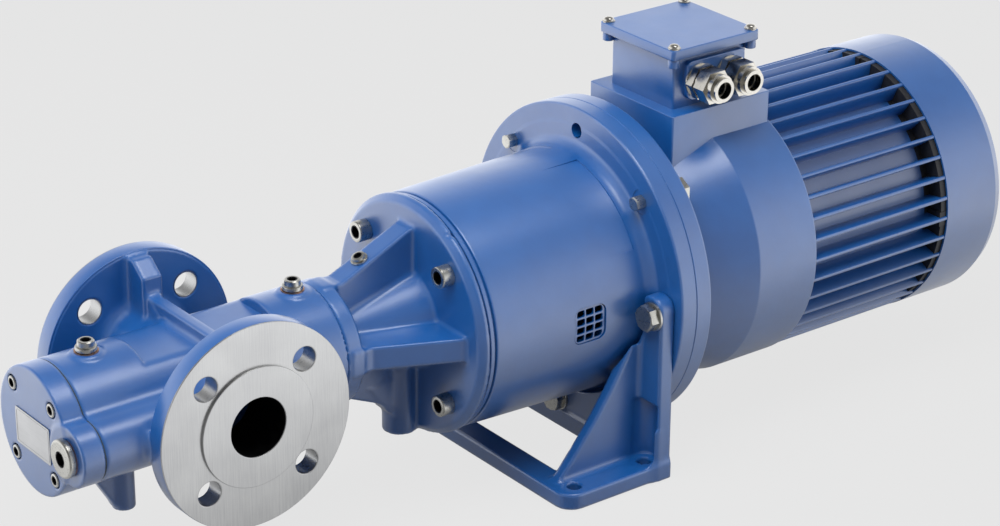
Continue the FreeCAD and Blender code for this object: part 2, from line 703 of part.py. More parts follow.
def helix_ridge(part, profile, left_handed, shorter=0):
    """One screw ridge from its axial profile of (x, radius) points."""
    sketch = part.outline("XZ_Plane", profile)
    ridge = part.feature("PartDesign::AdditiveHelix", sketch)
    ridge.ReferenceAxis = (sketch, ["H_Axis"])
    ridge.Mode = "pitch-height-angle"
    bind(ridge, "Pitch", D.lead)
    bind(ridge, "Height", 2 * D.screw_half - 2 * RIDGE_END - shorter)
    ridge.LeftHanded = left_handed
    return ridge


RIDGE_END = 12.0


def main_spindle():
    """Power spindle with two screw ridges, balance drum and shaft."""
    root = D.pitch_dia / 2 - D.run_gap
    crest = D.pitch_dia * 5 / 6
    part = Body("main_spindle")
    part.turn([(-D.journal_end, 0), (-D.journal_end, root - 1), (-D.journal_end + 1, root),
               (D.drum_front, root), (D.drum_front, D.drum_dia / 2), (D.drum_back - 0.5, D.drum_dia / 2),
               (D.drum_back - 0.5, D.shaft_dia / 2), (D.shaft_end - 1, D.shaft_dia / 2),
               (D.shaft_end, D.shaft_dia / 2 - 1), (D.shaft_end, 0)])
    start = RIDGE_END - D.screw_half
    wide = (D.crest_angle + D.flank_angle) / 360 * D.lead
    narrow = D.crest_angle / 360 * D.lead
    sunk = root - 0.5
    ridge = helix_ridge(part, [(start - wide, sunk), (start - wide, root), (start - narrow, crest),
                               (start + narrow, crest), (start + wide, root), (start + wide, sunk)], False)
    part.round_copies([ridge], 2)
    keyway = part.outline("XY_Plane", [(D.pump_hub_front + 4, -KEY_HALF), (D.shaft_end - 6, -KEY_HALF),
                                       (D.shaft_end - 6, KEY_HALF), (D.pump_hub_front + 4, KEY_HALF)],
                          D.shaft_dia / 2 - KEY_SUNK)
    part.pocket(keyway, 10)
    return part.finish()


KEY_HALF = 3.0
KEY_SUNK = 3.5


def idler_flank(turn):
    """Radius and half width of an idler ridge where the main crest's edge has rolled on by `turn`."""
    across = math.cos(math.radians(turn)) - 5 / 6 * math.cos(math.radians(2 * turn))
    up = math.sin(math.radians(turn)) - 5 / 6 * math.sin(math.radians(2 * turn))
    lean = math.degrees(math.atan2(-up, across))
    half_angle = 90 - D.crest_angle - D.mesh_angle - lean
    return D.pitch_dia * math.hypot(across, up), half_angle / 360 * D.lead


def idler_spindle(label, side):
    """Idler spindle with two left-hand ridges that mesh with the main spindle."""
    tip = D.pitch_dia / 2
    core = D.pitch_dia / 6 - D.run_gap
    part = Body(label)
    part.turn([(-D.journal_end, 0), (-D.journal_end, D.journal_dia / 2 - 0.5),
               (-D.journal_end + 0.5, D.journal_dia / 2), (-D.liner_half, D.journal_dia / 2),
               (-D.liner_half, tip), (2 - D.liner_half, tip), (2 - D.liner_half, core),
               (D.idler_back, core), (D.idler_back, 0)])
    start = RIDGE_END - D.screw_half + D.lead / 4
    flank = [idler_flank(turn) for turn in (6, 12, 18, 24)]
    outer = (tip, (90 - D.crest_angle - D.flank_angle - D.mesh_angle) / 360 * D.lead)
    flank.append(outer)
    flank.insert(0, (core - 0.5, flank[0][1]))
    points = [(start - wide, radius) for radius, wide in flank]
    points += [(start + wide, radius) for radius, wide in reversed(flank)]
    ridge = helix_ridge(part, points, True, D.lead / 4)
    part.round_copies([ridge], 2)
    part.finish()
    bind(part.body, "Placement.Base.z", D.shaft_height + side * D.pitch_dia)


def end_cover():
    back = -D.barrel_front - D.gasket_thick
    front = back - D.cover_thick
    part = Body("end_cover")
    part.turn([(front, 0), (front, D.barrel_dia / 2 - 1.5), (front + 1.5, D.barrel_dia / 2),
               (back, D.barrel_dia / 2), (back, 0)])
    part.pad(part.circles("YZ_Plane", [(-D.lobe_offset, 0, D.lobe_dia / 2)], front), D.cover_thick)
    sinks = [(y, z, COVER_SCREW.head + 0.4) for y, z in cover_screw_spots()]
    part.pocket(part.circles("YZ_Plane", sinks, front), D.cover_screw_sink)
    holes = [(y, z, COVER_SCREW.hole) for y, z in cover_screw_spots()]
    part.pocket(part.circles("YZ_Plane", holes, front), D.cover_thick + 1)
    relief = [(-D.lobe_offset, 0, RELIEF_THREAD + D.screw_gap)]
    part.pocket(part.circles("YZ_Plane", relief, front), D.cover_thick + 1)
    return part.finish()


RELIEF_THREAD = 9.0


def end_cover_gasket():
    part = Body("end_cover_gasket")
    start = -D.barrel_front - D.gasket_thick
    part.pad(part.circles("YZ_Plane", [(0, 0, D.barrel_dia / 2 - 0.6)], start), D.gasket_thick)
    lobe = part.circles("YZ_Plane", [(-D.lobe_offset, 0, D.lobe_dia / 2 - 0.6)], start)
    part.pad(lobe, D.gasket_thick)
    part.pocket(part.circles("YZ_Plane", [(0, 0, D.barrel_bore / 2)], start), D.gasket_thick)
    part.pocket(part.circles("YZ_Plane", [(-D.lobe_offset, 0, D.lobe_bore / 2)], start), D.gasket_thick)
    holes = [(y, z, COVER_SCREW.hole) for y, z in cover_screw_spots()]
    part.pocket(part.circles("YZ_Plane", holes, start), D.gasket_thick)
    return part.finish()


def pump_end_fittings():
    front = -D.barrel_front - D.gasket_thick - D.cover_thick
    screws = [COVER_SCREW.socket(front + D.cover_screw_sink, y, z, 30) for y, z in cover_screw_spots()]
    set_down(group(*screws), "end_cover_screws")
    plate = box(front - D.plate_thick, front, -D.plate_wide / 2, D.plate_wide / 2,
                -D.plate_low, D.plate_tall - D.plate_low)
    collar = rod(D.relief_plug_collar / 2, 5, front - 5, -D.lobe_offset, 0)
    clear = rod(D.relief_plug_collar / 2 + 0.6, 12, front - 6, -D.lobe_offset, 0)
    set_down(cut(plate, clear), "name_plate")
    seal = cut(rod(D.relief_plug_collar / 2 - 1, 1, front - 1, -D.lobe_offset, 0),
               rod(RELIEF_THREAD + 0.3, 2, front - 1.5, -D.lobe_offset, 0))
    set_down(seal, "relief_plug_seal")
    neck = rod(RELIEF_THREAD, D.cover_thick + 2, front - 2, -D.lobe_offset, 0)
    collar = rod(D.relief_plug_collar / 2, 5, front - 6, -D.lobe_offset, 0)
    plug = cut(join(collar, neck), hexagon(10, 9, front - 6, -D.lobe_offset, 0),
               rod(4.1, D.cover_thick + 10, front + 4, -D.lobe_offset, 0))
    set_down(plug, "relief_valve_plug")
    relief_valve(front)


def relief_valve(front):
    """Sprung piston behind the relief valve plug."""
    seat = D.lobe_bore_depth - D.barrel_front
    slide = D.lobe_bore / 2 - D.run_gap
    piston = cut(join(rod(slide, 20, seat - 20, -D.lobe_offset, 0),
                      rod(D.relief_port_dia / 2 - 1, 4, seat - 1, -D.lobe_offset, 0)),
                 rod(slide - 3, 12, seat - 20 - 1, -D.lobe_offset, 0))
    set_down(piston, "relief_valve_piston")
    adjuster = join(rod(slide - 0.5, 4, front + D.cover_thick + D.gasket_thick + 2, -D.lobe_offset, 0),
                    rod(4, D.cover_thick - 4, front + 7, -D.lobe_offset, 0))
    set_down(adjuster, "relief_spring_adjuster")
    wire = D.spring_wire / 2
    x0 = front + D.cover_thick + D.gasket_thick + 6 + wire
    length = seat - 9 - x0 - wire
    spring = Body("relief_valve_spring")
    sketch = spring.circles("XZ_Plane", [(x0, slide - 4 - wire, wire)])
    coil = spring.feature("PartDesign::AdditiveHelix", sketch)
    coil.ReferenceAxis = (sketch, ["H_Axis"])
    coil.Mode = "height-turns-angle"
    bind(coil, "Height", length)
    coil.Turns = 7
    spring.finish()
    bind(spring.body, "Placement.Base.y", -D.lobe_offset)


def seal_and_bearing():
    """Shaft seal, pump bearing and the cover that holds them in the casing's drive end."""
    start = D.bearing_bore_front
    wide = BEARING_PUMP.outer
    shaft = D.shaft_dia / 2 + D.seat_gap
    turned("shaft_seal_seat", tube_points(start, start + 7, shaft + 1.2, wide))
    turned("shaft_seal_ring", tube_points(start + 7, start + 14, shaft, wide - 6))
    bearing = D.mount_face + D.mount_flange_thick - BEARING_PUMP.width - 4
    turned("shaft_sleeve", tube_points(start + 14, bearing, shaft, shaft + 3))
    set_down(group(BEARING_PUMP.outer_ring(bearing)), "pump_bearing_outer_ring")
    set_down(group(BEARING_PUMP.inner_ring(bearing)), "pump_bearing_inner_ring")
    set_down(group(*BEARING_PUMP.balls(bearing)), "pump_bearing_balls")
    back = D.mount_face + D.mount_flange_thick
    cover = Body("bearing_cover")
    cover.turn([(back - 4, shaft + 4), (back - 4, wide), (back, wide), (back, SEAL_RADIUS + 8),
                (back + 7, SEAL_RADIUS + 8), (back + 7, shaft + 4)])
    holes = [(y, z, SEAL_SCREW.hole) for y, z in around(SEAL_RADIUS, 4, 0)]
    cover.pocket(cover.circles("YZ_Plane", holes, back - 1), 10)
    cover.finish()
    screws = []
    for y, z in around(SEAL_RADIUS, 4, 0):
        head = join(rod(SEAL_SCREW.head, SEAL_SCREW.height, back + 7, y, z),
                    rod(SEAL_SCREW.shank, 17.5, back - 10, y, z))
        screws.append(cut(head, hexagon(SEAL_SCREW.key, 4, back + 10, y, z)))
    set_down(group(*screws), "bearing_cover_screws")


def vent_plug(x, base):
    head = join(rod(VENT_PLUG.head, VENT_PLUG.height, x, 0, base + 1.5, "Z"),
                rod(VENT_PLUG.shank, 14, x, 0, base - 12, "Z"))
    return cut(head, hexagon(VENT_PLUG.key, 4, x, 0, base + VENT_PLUG.height - 1.5, "Z"))


def plug_seal(x, base):
    return cut(rod(VENT_PLUG.head + 1, 1.5, x, 0, base, "Z"),
               rod(VENT_PLUG.shank + 0.3, 4, x, 0, base - 1, "Z"))


def vent_plugs():
    base = D.plug_boss_height
    set_down(group(vent_plug(-D.plug_front, base), vent_plug(D.plug_back, base)), "vent_plugs")
    set_down(group(plug_seal(-D.plug_front, base), plug_seal(D.plug_back, base)), "vent_plug_seals")


def rib_plug():
    """Small socket plug on the top rib."""
    head = rod(RIB_PLUG.head, RIB_PLUG.height, axis="Z")
    shank = rod(RIB_PLUG.shank, 7.5, z=-7, axis="Z")
    plug = cut(join(head, shank), hexagon(RIB_PLUG.key, 3, z=RIB_PLUG.height - 2.5, axis="Z"))
    lean_on_rib(plug, "Placement")
    set_down(group(plug), "rib_plug")


def mounting_screws():
    screws = [MOUNT_SCREW.socket(D.mount_face, y, z, 24) for y, z in around(D.mount_screw_radius, 4, 45)]
    set_down(group(*screws), "mounting_screws")


def bell_housing():
    front = D.bell_front
    back = D.bell_flange_face + D.motor_flange_thick
    flare = D.bell_flange_face - D.flare_length
    inner = D.bell_mid_dia / 2 - D.bell_wall
    part = Body("bell_housing")
    part.turn([(front, 0), (front, D.bell_groove_dia / 2), (front + D.bell_groove_width, D.bell_groove_dia / 2),
               (front + D.bell_groove_width, D.bell_front_dia / 2), (flare, D.bell_mid_dia / 2),
               (flare + D.flare_length * 0.35, D.bell_mid_dia / 2 + 1.5),
               (flare + D.flare_length * 0.75, D.bell_mid_dia / 2 + 7),
               (D.bell_flange_face, D.flare_dia / 2),
               (D.bell_flange_face, D.motor_flange_dia / 2), (back, D.motor_flange_dia / 2), (back, 0)])
    part.groove([(front + 14, 0), (front + 14, D.bell_front_dia / 2 - D.bell_wall - 1),
                 (flare, inner), (back - D.motor_register_depth - 0.5, inner),
                 (back - D.motor_register_depth - 0.5, D.motor_register_dia / 2 + D.seat_gap),
                 (back + 1, D.motor_register_dia / 2 + D.seat_gap), (back + 1, 0)])
    part.pocket(part.circles("YZ_Plane", [(0, 0, SEAL_RADIUS + 10)], front - 1), 20)
    screws = [(y, z, MOUNT_SCREW.hole) for y, z in around(D.mount_screw_radius, 4, 45)]
    part.pocket(part.circles("YZ_Plane", screws, front - 1), 20)
    clear = [(flare - 3, -D.bell_mid_dia / 2 - 0.5), (D.bell_flange_face, -D.bell_mid_dia / 2 - 0.5),
             (D.bell_flange_face, -D.motor_flange_dia / 2), (flare - 3, -D.motor_flange_dia / 2)]
    part.groove(clear, "XZ_Plane", 180 + 2 * D.seat_turn)
    circle = D.motor_bolt_circle / 2
    holes = [(y, z, FLANGE_BOLT.hole) for y, z in around(circle, 4, 45) + around(circle, 4, 0)]
    part.pocket(part.circles("YZ_Plane", holes, D.bell_flange_face - 1), D.motor_flange_thick + 2)
    faced = [(y, z, FLANGE_BOLT.head + 3) for y, z in around(circle, 4, 45)]
    part.pocket(part.circles("YZ_Plane", faced, flare - 3), D.flare_length + 3)
    half = D.window_size / 2
    window = [(D.window_place - half, -half), (D.window_place + half, -half),
              (D.window_place + half, half), (D.window_place - half, half)]
    part.pocket(part.outline("XZ_Plane", window), 2 * D.bell_mid_dia, symmetric=True)
    return part.finish()


def window_grille(side):
    """Curved guard of square holes that fills one bell window."""
    half = D.window_size / 2
    outer = D.bell_mid_dia / 2 - 2.5
    shell = cut(rod(outer, 2 * half, D.window_place - half), rod(outer - 2, 2 * half + 2, D.window_place - half - 1))
    if side < 0:
        block = box(D.window_place - half, D.window_place + half, -outer - 5, 0, -half, half)
    else:
        block = box(D.window_place - half, D.window_place + half, 0, outer + 5, -half, half)
    plate = DOC.addObject("Part::Common", "curved_plate")
    plate.Base = shell
    plate.Tool = block
    holes = []
    for column in range(3):
        for row in range(4):
            x = D.window_place - half + 3.2 + column * 7.6
            z = -half + 2.6 + row * 6
            holes.append(box(x, x + 5.6, -2 * outer, 2 * outer, z, z + 4.4))
    return cut(plate, *holes)


def bell_grilles():
    set_down(group(window_grille(-1), window_grille(1)), "bell_grilles")


def foot_bracket():
    bottom = -D.shaft_height
    leg_front = D.bell_flange_face - D.leg_thick
    half = D.foot_width / 2
    part = Body("foot_bracket")
    leg = [(-half, bottom), (half, bottom), (half, D.leg_top), (-half, D.leg_top)]
    part.pad(part.outline("YZ_Plane", leg, leg_front), D.leg_thick)
    part.fillet(D.leg_round, corners("x", [(half, D.leg_top), (-half, D.leg_top)]))
    base = [(D.foot_front, -half), (leg_front + 1, -half), (leg_front + 1, half), (D.foot_front, half)]
    part.pad(part.outline("XY_Plane", base, bottom), D.base_thick)
    part.fillet(D.base_round, corners("z", [(D.foot_front, half), (D.foot_front, -half)]))
    for side in (1, -1):
        start = side * D.gusset_place + D.gusset_thick / 2
        gusset = [(D.foot_front + 5, bottom + D.base_thick - 1), (leg_front + 1, bottom + D.base_thick - 1),
                  (leg_front + 1, -16), (leg_front - 6, -24), (leg_front - 34, -72),
                  (D.foot_front + 5, bottom + D.base_thick)]
        part.pad(part.outline("XZ_Plane", gusset, -start), D.gusset_thick)
    inside = D.gusset_place - D.gusset_thick / 2 - 3
    rail = D.foot_front + D.rail_width
    opening = [(rail, -inside), (leg_front, -inside), (leg_front, inside), (rail, inside)]
    part.pocket(part.outline("XY_Plane", opening, bottom), D.base_thick + 1)
    part.fillet(D.base_round - 4, corners("z", [(rail, inside), (rail, -inside)]))
    ring = part.circles("YZ_Plane", [(0, 0, D.foot_opening_dia / 2)], D.foot_front - 1)
    part.pocket(ring, D.bell_flange_face - D.foot_front + 2)
    above = [(-inside + 8, 0), (inside - 8, 0), (inside - 8, D.leg_top + 1), (-inside + 8, D.leg_top + 1)]
    part.pocket(part.outline("YZ_Plane", above, leg_front - 1), D.leg_thick + 2)
    circle = D.motor_bolt_circle / 2
    holes = [(circle, 0, FLANGE_BOLT.hole), (-circle, 0, FLANGE_BOLT.hole), (0, -circle, FLANGE_BOLT.hole)]
    part.pocket(part.circles("YZ_Plane", holes, leg_front - 1), D.leg_thick + 2)
    step = circle * cos(45)
    clear = [(step, -step, FLANGE_BOLT.head + 3), (-step, -step, FLANGE_BOLT.head + 3)]
    part.pocket(part.circles("YZ_Plane", clear, leg_front - 1), D.leg_thick + 2)
    feet = []
    for x in (-1, 1):
        for y in (-1, 1):
            feet.append((D.flange_to_foot + x * D.foot_hole_length / 2, y * D.foot_hole_width / 2,
                         D.foot_hole_dia / 2))
    part.pocket(part.circles("XY_Plane", feet, bottom - 1), D.base_thick + 2)
    return part.finish()


def flange_bolts():
    leg_front = D.bell_flange_face - D.leg_thick
    circle = D.motor_bolt_circle / 2
    grip = D.leg_thick + D.motor_flange_thick - 1
    feet = [FLANGE_BOLT.hexagonal(leg_front, y, z, grip) for y, z in ((circle, 0), (-circle, 0), (0, -circle))]
    set_down(group(*feet), "foot_bracket_bolts")
    bolts = []
    nuts = []
    back = D.bell_flange_face + 2 * D.motor_flange_thick
    for y, z in around(circle, 4, 45):
        bolts.append(FLANGE_BOLT.hexagonal(D.bell_flange_face, y, z, 2 * D.motor_flange_thick + 13))
        nuts.append(cut(hexagon(18, 10, back, y, z), rod(FLANGE_BOLT.hole, 12, back - 1, y, z)))
    set_down(group(*bolts), "motor_flange_bolts")
    set_down(group(*nuts), "motor_flange_nuts")


JAW_ROOT = 16.0
JAW_ANGLE = 19.0


def coupling_hub(label, x0, x1, jaw_root, jaw_tip, bore, turn):
    """Hub with three jaws; the jaws run from jaw_root to jaw_tip."""
    part = Body(label)
    if jaw_tip.value > jaw_root.value:
        shoulder = jaw_root - 14
        part.turn([(x0, bore), (x0, D.hub_dia / 2), (shoulder, D.hub_dia / 2), (shoulder, D.jaw_dia / 2),
                   (jaw_root, D.jaw_dia / 2), (jaw_root, bore)])
        jaw_start = jaw_root
        jaw_length = jaw_tip - jaw_root
    else:
        shoulder = jaw_root + 14
        part.turn([(jaw_root, bore), (jaw_root, D.jaw_dia / 2), (shoulder, D.jaw_dia / 2),
                   (shoulder, D.hub_dia / 2), (x1, D.hub_dia / 2), (x1, bore)])
        jaw_start = jaw_tip
        jaw_length = jaw_root - jaw_tip
    outline = []
    tip = D.jaw_dia / 2
    for radius, angle in ((JAW_ROOT, -JAW_ANGLE), (tip - 1.5, -JAW_ANGLE), (tip, 0),
                          (tip - 1.5, JAW_ANGLE), (JAW_ROOT, JAW_ANGLE)):
        outline.append((as_size(radius) * cos(angle + turn), as_size(radius) * sin(angle + turn)))
    jaw = part.pad(part.outline("YZ_Plane", outline, jaw_start), jaw_length)
    part.round_copies([jaw], 3)
    slot = [(x0 - 1, -KEY_HALF), (x1 + 1, -KEY_HALF), (x1 + 1, KEY_HALF), (x0 - 1, KEY_HALF)]
    part.pocket(part.outline("XY_Plane", slot), bore + 3)
    return part.finish()


def coupling():
    pump_root = D.jaw_front
    motor_root = D.jaw_front + D.spider_thick
    coupling_hub("pump_coupling_hub", D.pump_hub_front, pump_root, pump_root, motor_root - 1,
                 D.shaft_dia / 2 + D.seat_gap, 90)
    coupling_hub("motor_coupling_hub", motor_root, D.motor_hub_back, motor_root, pump_root + 1,
                 D.motor_shaft_dia / 2 + D.seat_gap, 30)
    part = Body("coupling_spider")
    thick = D.spider_thick - 3
    start = pump_root + 1.5
    part.pad(part.circles("YZ_Plane", [(0, 0, JAW_ROOT - 1.3)], start), thick)
    reach = D.jaw_dia / 2 - 2
    lean = math.tan(math.radians(30 - JAW_ANGLE - 1))
    arm = [(10, -10 * lean), (reach, -reach * lean), (reach, reach * lean), (10, 10 * lean)]
    first = part.pad(part.outline("YZ_Plane", arm, start), thick)
    part.round_copies([first], 6)
    part.pocket(part.circles("YZ_Plane", [(0, 0, 8)], start - 1), thick + 2)
    part.finish()


def shaft_keys():
    pump = box(D.pump_hub_front + 4, D.shaft_end - 6, -KEY_HALF + 0.02, KEY_HALF - 0.02,
               D.shaft_dia / 2 - KEY_SUNK, D.shaft_dia / 2 + 2.5)
    tip = motor_shaft_tip()
    motor = box(tip + 4, D.motor_hub_back - 2, -KEY_HALF + 0.02, KEY_HALF - 0.02,
                D.motor_shaft_dia / 2 - KEY_SUNK, D.motor_shaft_dia / 2 + 2.5)
    set_down(group(pump, motor), "shaft_keys")


def motor_face():
    return D.bell_flange_face + D.motor_flange_thick


def motor_shaft_tip():
    return motor_face() - D.motor_shaft_length


def rear_bearing_place():
    return D.fin_back - 16


def motor_shaft():
    face = motor_face()
    tip = motor_shaft_tip()
    seat = BEARING_MOTOR.inner
    part = Body("motor_shaft")
    rear = rear_bearing_place()
    part.turn([(tip, 0), (tip, D.motor_shaft_dia / 2 - 1), (tip + 1, D.motor_shaft_dia / 2),
               (face, D.motor_shaft_dia / 2), (face, seat), (face + 20 + BEARING_MOTOR.width, seat),
               (face + 20 + BEARING_MOTOR.width, 20), (rear, 20), (rear, seat),
               (rear + BEARING_MOTOR.width, seat), (rear + BEARING_MOTOR.width, 10),
               (D.cowl_back - 14, 10), (D.cowl_back - 14, 0)])
    keyway = part.outline("XY_Plane", [(tip + 4, -KEY_HALF), (D.motor_hub_back - 2, -KEY_HALF),
                                       (D.motor_hub_back - 2, KEY_HALF), (tip + 4, KEY_HALF)],
                          D.motor_shaft_dia / 2 - KEY_SUNK)
    part.pocket(keyway, 10)
    return part.finish()


def motor_end_shield():
    face = motor_face()
    back = face + D.motor_flange_thick
    bearing = face + 20
    housing = BEARING_MOTOR.outer + D.seat_gap
    slope = (D.frame_dia / 2 - D.cone_motor_dia / 2) / (D.cone_back - back)
    joint = D.cone_motor_dia / 2 + slope * (D.shield_back - back)
    part = Body("motor_end_shield")
    part.turn([(face - D.motor_register_depth, 19), (face - D.motor_register_depth, D.motor_register_dia / 2),
               (face, D.motor_register_dia / 2), (face, D.motor_flange_dia / 2),
               (back, D.motor_flange_dia / 2), (back, D.cone_motor_dia / 2), (D.shield_back, joint),
               (D.shield_back, D.frame_bore / 2), (back + 4, D.frame_bore / 2 - 8), (back + 4, 42),
               (bearing + BEARING_MOTOR.width + 2, 42), (bearing + BEARING_MOTOR.width + 2, housing),
               (bearing, housing), (bearing, 19)])
    holes = [(y, z, FLANGE_BOLT.hole + 1.25) for y, z in around(D.motor_bolt_circle / 2, 4, 45)]
    part.pocket(part.circles("YZ_Plane", holes, face - 1), D.motor_flange_thick + 2)
    clear = [(y, z, 14.5) for y, z in around(D.motor_bolt_circle / 2, 4, 45)]
    part.pocket(part.circles("YZ_Plane", clear, back), 26)
    return part.finish()


def motor_housing():
    back = motor_face() + D.motor_flange_thick
    slope = (D.frame_dia / 2 - D.cone_motor_dia / 2) / (D.cone_back - back)
    joint = D.cone_motor_dia / 2 + slope * (D.shield_back - back)
    half = D.pedestal_width / 2
    part = Body("motor_housing")
    part.turn([(D.shield_back, D.frame_bore / 2 - 2), (D.shield_back, joint), (D.cone_back, D.frame_dia / 2),
               (D.fin_front, D.frame_dia / 2), (D.fin_front, D.fin_root_dia / 2),
               (D.fin_back - 12, D.fin_root_dia / 2), (D.fin_back - 12, D.frame_bore / 2 - 2)])
    fin = [(D.fin_root_dia / 2 - 2, -D.fin_thick / 2), (D.fin_dia / 2, -D.fin_thick / 2 + 0.4),
           (D.fin_dia / 2, D.fin_thick / 2 - 0.4), (D.fin_root_dia / 2 - 2, D.fin_thick / 2)]
    first = part.pad(part.outline("YZ_Plane", fin, D.fin_front - 1), D.fin_back - D.fin_front - 12)
    part.round_copies([first], D.fin_count)
    pedestal = [(D.pedestal_front, -half), (D.pedestal_back, -half), (D.pedestal_back, half),
                (D.pedestal_front, half)]
    part.pad(part.outline("XY_Plane", pedestal, D.frame_bore / 2), D.pedestal_top - D.frame_bore / 2)
    part.groove([(D.shield_back - 1, 0), (D.shield_back - 1, D.frame_bore / 2), (D.fin_back, D.frame_bore / 2),
                 (D.fin_back, 0)])
    duct = [(D.lid_front + 24, -22), (D.lid_back - 24, -22), (D.lid_back - 24, 22), (D.lid_front + 24, 22)]
    part.pocket(part.outline("XY_Plane", duct, D.frame_bore / 2 - 8), 60)
    return part.finish()


def motor_inside():
    """Stator, windings, rotor and the two bearings."""
    bore = D.frame_bore / 2 - D.seat_gap
    front = D.cone_back + 30
    back = D.fin_back - 72
    turned("stator_core", tube_points(front, back, 50, bore))
    windings = Body("stator_windings")
    windings.turn([(front - 24, 56), (front - 24, 70), (front - 18, 76), (front, 76), (front, 52), (front - 18, 52)])
    windings.finish()
    rear = Body("stator_rear_windings")
    rear.turn([(back, 52), (back, 76), (back + 18, 76), (back + 24, 70), (back + 24, 56), (back + 18, 52)])
    rear.finish()
    turned("rotor_core", [(front - 4, 20 + D.seat_gap), (front - 4, 44), (front, 44), (front, 49.6),
                          (back, 49.6), (back, 44), (back + 4, 44), (back + 4, 20 + D.seat_gap)])
    first = motor_face() + 20
    second = rear_bearing_place()
    make = BEARING_MOTOR
    set_down(group(make.outer_ring(first), make.outer_ring(second)), "motor_bearing_outer_rings")
    set_down(group(make.inner_ring(first), make.inner_ring(second)), "motor_bearing_inner_rings")
    set_down(group(*(make.balls(first) + make.balls(second))), "motor_bearing_balls")


def rear_end_shield():
    back = D.fin_back
    bearing = rear_bearing_place()
    housing = BEARING_MOTOR.outer + D.seat_gap
    inside = D.cowl_dia / 2 - D.cowl_wall
    part = Body("rear_end_shield")
    part.turn([(back - 12, D.frame_bore / 2 - 12), (back - 12, D.fin_root_dia / 2), (back - 4, D.fin_root_dia / 2),
               (back - 4, 42), (back + 2, 42), (back + 2, 17), (back, 17), (back, housing),
               (bearing - 2, housing), (bearing - 2, 42), (back - 12, 48)])
    lug = [(D.fin_root_dia / 2 - 3, -6), (inside - 0.2, -6), (inside - 0.2, 6), (D.fin_root_dia / 2 - 3, 6)]
    first = part.pad(part.outline("YZ_Plane", lug, back - 12), 8)
    part.round_copies([first], 4)
    posts = [(y, z, D.cowl_post_dia / 2) for y, z in around(D.cowl_post_radius, 4, 45)]
    part.pad(part.circles("YZ_Plane", posts, back - 8), D.cowl_back - D.cowl_wall - back + 8)
    holes = [(y, z, COWL_SCREW.hole) for y, z in around(D.cowl_post_radius, 4, 45)]
    part.pocket(part.circles("YZ_Plane", holes, D.cowl_back - D.cowl_wall), 14, forward=False)
    return part.finish()


def cooling_fan():
    start = D.fin_back + 8
    part = Body("cooling_fan")
    part.turn([(start, 10 + D.seat_gap), (start, 22), (start + 12, 22), (start + 12, D.fan_dia / 2 - 6),
               (start + 15, D.fan_dia / 2 - 6), (start + 15, 10 + D.seat_gap)])
    blade = [(21, -1.25), (D.fan_dia / 2, -1.25), (D.fan_dia / 2, 1.25), (21, 1.25)]
    first = part.pad(part.outline("YZ_Plane", blade, start + 1), 30)
    part.round_copies([first], 8)
    return part.finish()


def fan_cowl():
    outer = D.cowl_dia / 2
    inner = outer - D.cowl_wall
    part = Body("fan_cowl")
    back = D.cowl_back
    part.turn([(D.cowl_front, inner), (D.cowl_front, outer), (back - 10, outer), (back - 3, outer - 3),
               (back, outer - 10), (back, 0), (back - D.cowl_wall, 0), (back - D.cowl_wall, outer - 10.6),
               (back - 4, inner - 3), (back - 10.6, inner)])
    slot = [(30, -2.4), (D.cowl_post_radius - 8, -4.4), (D.cowl_post_radius - 8, 4.4), (30, 2.4)]
    first = part.pocket(part.outline("YZ_Plane", slot, back - D.cowl_wall - 1), D.cowl_wall + 2)
    part.round_copies([first], 24)
    holes = [(y, z, COWL_SCREW.hole) for y, z in around(D.cowl_post_radius, 4, 45)]
    part.pocket(part.circles("YZ_Plane", holes, back - D.cowl_wall - 1), D.cowl_wall + 2)
    part.finish()
    screws = []
    for y, z in around(D.cowl_post_radius, 4, 45):
        screws.append(join(rod(COWL_SCREW.head, COWL_SCREW.height, back, y, z),
                           rod(COWL_SCREW.shank, 12, back - 11.5, y, z)))
    set_down(group(*screws), "cowl_screws")


def terminal_box():
    x0 = D.lid_front + D.box_inset
    x1 = D.lid_back - D.box_inset
    half = D.lid_width / 2 - D.box_inset
    wall = D.box_wall
    part = Body("terminal_box")
    outer = [(x0, -half), (x1, -half), (x1, half), (x0, half)]
    part.pad(part.outline("XY_Plane", outer, D.pedestal_top), D.lid_bottom - D.pedestal_top - D.gasket_thick)
    part.fillet(D.box_round, corners("z", outer))
    pad = [(D.gland_first - 16, D.gland_height - 14), (D.gland_second + 16, D.gland_height - 14),
           (D.gland_second + 16, D.gland_height + 14), (D.gland_first - 16, D.gland_height + 14)]
    part.pad(part.outline("XZ_Plane", pad, half - 1), 6)
    inner = [(x0 + wall, wall - half), (x1 - wall, wall - half), (x1 - wall, half - wall), (x0 + wall, half - wall)]
    part.pocket(part.outline("XY_Plane", inner, D.pedestal_top + wall), 60)
    duct = [(D.lid_front + 24, -22), (D.lid_back - 24, -22), (D.lid_back - 24, 22), (D.lid_front + 24, 22)]
    part.pocket(part.outline("XY_Plane", duct, D.pedestal_top - 1), wall + 2)
    glands = [(x, D.gland_height, GLAND_THREAD + D.screw_gap) for x in (D.gland_first, D.gland_second)]
    part.pocket(part.circles("XZ_Plane", glands, half - wall - 1), wall + 8)
    return part.finish()


GLAND_THREAD = 10.0


def lid_screw_spots():
    spots = []
    for x in (D.lid_front + 5, D.lid_back - 5):
        for y in (5 - D.lid_width / 2, D.lid_width / 2 - 5):
            spots.append((x, y))
    return spots


